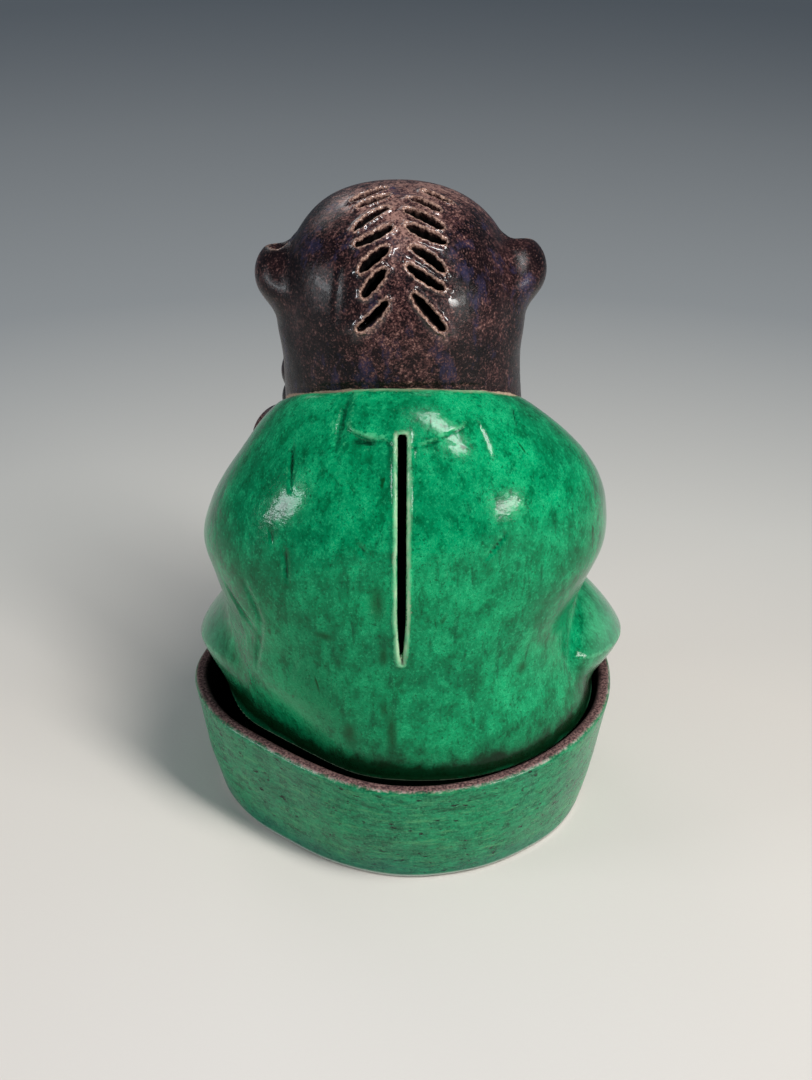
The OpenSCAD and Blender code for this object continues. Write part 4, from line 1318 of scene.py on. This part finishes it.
def aubergine_glaze():
    """Almost black, with flecks of tan, bare clay along the neckline and soot inside"""
    material, tree, shader = new_material("aubergine_glaze")
    place = node(tree, "TexCoord").outputs["Object"]
    xyz = node(tree, "SeparateXYZ", {"Vector": place}).outputs
    aside = node(tree, "Math", {0: xyz["X"]}, operation="ABSOLUTE").outputs["Value"]
    broad = noise(place, 24, 3, 0.6, 0.5)
    runs = noise(stretched(place, 0.3), 6, 6, 0.72, 0.4)
    mottle = noise(place, 2.4, 8, 0.8, 0.15)
    fleck = noise(place, 0.62, 4, 0.7, 0.2)
    painted_sheen = noise(stretched(place, 0.5), 11, 5, 0.75)
    # The dark glaze, with blacker runs, and bluish patches painted in as a sheen of reflected light
    colour = mixed(between(broad, 0.36, 0.64), srgb(9, 5, 8), srgb(32, 18, 20))
    colour = laid(colour, srgb(7, 4, 7), runs, (0.36, 0.8), (0.52, 0))
    colour = laid(colour, srgb(58, 54, 86), painted_sheen, (0.54, 0), (0.68, 0.6))
    # It breaks into brown and then tan where it is thin: over the crown, and most on the ears
    crown = between(xyz["Z"], (crown_z - 9) * mm, crown_z * mm)
    ears = between(aside, 37 * mm, 43 * mm)
    thin = sums(mottle, (broad, 0.45), (fleck, 0.85), (aside, -4.0), (crown, 0.13), (ears, 0.24))
    colour = laid(colour, srgb(84, 53, 51), between(thin, 1.08, 1.22), (0, 0), (1, 0.85))
    colour = laid(colour, srgb(158, 120, 108), between(thin, 1.23, 1.32), (0, 0), (1, 0.85))
    colour = laid(colour, srgb(122, 90, 82), fleck, (0.57, 0), (0.68, 0.6))
    # Darker in the hollows: glaze pooling there, and painted shade
    pooled_and_shade = sums(mask_of(tree, "pooled_and_shade"), (mottle, -0.4))
    colour = laid(colour, srgb(10, 6, 9), pooled_and_shade, (0.0, 0), (0.6, 0.85))
    # Worn edges and the rims of the slots are flecked with pale clay, and the slots' walls are black
    edge = mixed(ramp(fleck, (0.4, 0), (0.62, 1)), srgb(92, 58, 50), srgb(204, 166, 146))
    worn = sums(mask_of(tree, "worn"), (mottle, 1.2), (fleck, 0.9))
    colour = laid(colour, edge, between(worn, 1.55, 2.2), (0, 0), (1, 0.8))
    away = between(sums(mask_of(tree, "slot_away"), (mottle, 0.8), (fleck, 0.3)), 0, 3)
    colour = laid(colour, edge, away, (0.18, 0), (0.22, 0.75), (0.30, 0.7), (0.44, 0))
    cut = between(mask_of(tree, "slot_away"), 0.1, -0.2)
    colour = laid(colour, srgb(8, 5, 7), cut, (0, 0), (1, 0.85))
    clay = mixed(noise(place, 1.4), srgb(120, 92, 80), srgb(206, 176, 152))
    seam = between(sums(mask_of(tree, "neck_up"), (mottle, 2.4), (runs, 1.6)), 2.9, 2.4)
    colour = mixed(seam, colour, clay)
    soot = mixed(noise(place, 2), srgb(14, 11, 11), srgb(34, 28, 26))
    colour = mixed(mask_of(tree, "lining"), colour, soot)
    rough = mixed(seam, ramp(mottle, (0.3, 0.20), (0.8, 0.42)), 0.75)
    rough = mixed(mask_of(tree, "lining"), rough, 0.8)
    normal = add_bump(noise(place, 8, 3), 0.30)
    normal = add_bump(mottle, 0.10, normal)
    near_slots = between(mask_of(tree, "slot_away"), 3.0, 1.5)
    coat = ramp(near_slots, (0, 0.04), (1, 0.7))
    connect(shader, {"Base Color": colour, "Roughness": rough, "Normal": normal,
                     "Specular IOR Level": 0.16, "Coat Weight": coat, "Coat Roughness": 0.05})
    return material


fire(head_and_mane, ("head_shell", head), head_parts, 0.62, aubergine_glaze(), inside_head,
     extra_masks=head_masks)


# ---- The mouth and eyes are glazed -------------------------------------------------------------
# A straw-coloured glaze covers the teeth and eyeballs, and an iron red one the tongue. Both pool
# brown in the hollows.

def small_glaze(name, pale, deep, stain):
    """A glaze that turns from deep to pale, stained in the hollows, and black on the pupils"""
    material, tree, shader = new_material(name)
    place = node(tree, "TexCoord").outputs["Object"]
    mottle = noise(place, 2.4, 7, 0.72, 0.5)
    colour = laid(deep, pale, mottle, (0.38, 0), (0.66, 1))
    colour = laid(colour, stain, mask_of(tree, "pooled_and_shade"), (0.15, 0), (1.0, 0.7))
    colour = laid(colour, srgb(22, 15, 16), mask_of(tree, "pupil"), (0.35, 0), (0.65, 1))
    rough = ramp(mottle, (0.3, 0.10), (0.8, 0.25))
    connect(shader, {"Base Color": colour, "Roughness": rough,
                     "Normal": add_bump(mottle, 0.06), "Coat Weight": 0.5})
    return material


def nowhere(p):
    """These pieces are solid, so none of their points line a hollow"""
    return np.zeros(len(p), bool)


def pupil_masks(p):
    """Which points are on a pupil"""
    return {"pupil": 1 / (1 + np.exp((pupils(p) - pupil_r) / 0.2))}


straw = small_glaze("straw_glaze", srgb(226, 208, 156), srgb(196, 168, 108), srgb(96, 62, 34))
iron = small_glaze("iron_glaze", srgb(158, 70, 46), srgb(108, 38, 28), srgb(48, 18, 16))
fire(tongue, ("tongue", tongue), [], 0.5, iron, nowhere)
fire(teeth, ("teeth", teeth), [], 0.35, straw, nowhere)
for side, hand in sides:
    fire(lambda p: eye(p, side), ("eye_" + hand, None), [], 0.4, straw, nowhere,
         extra_masks=pupil_masks)
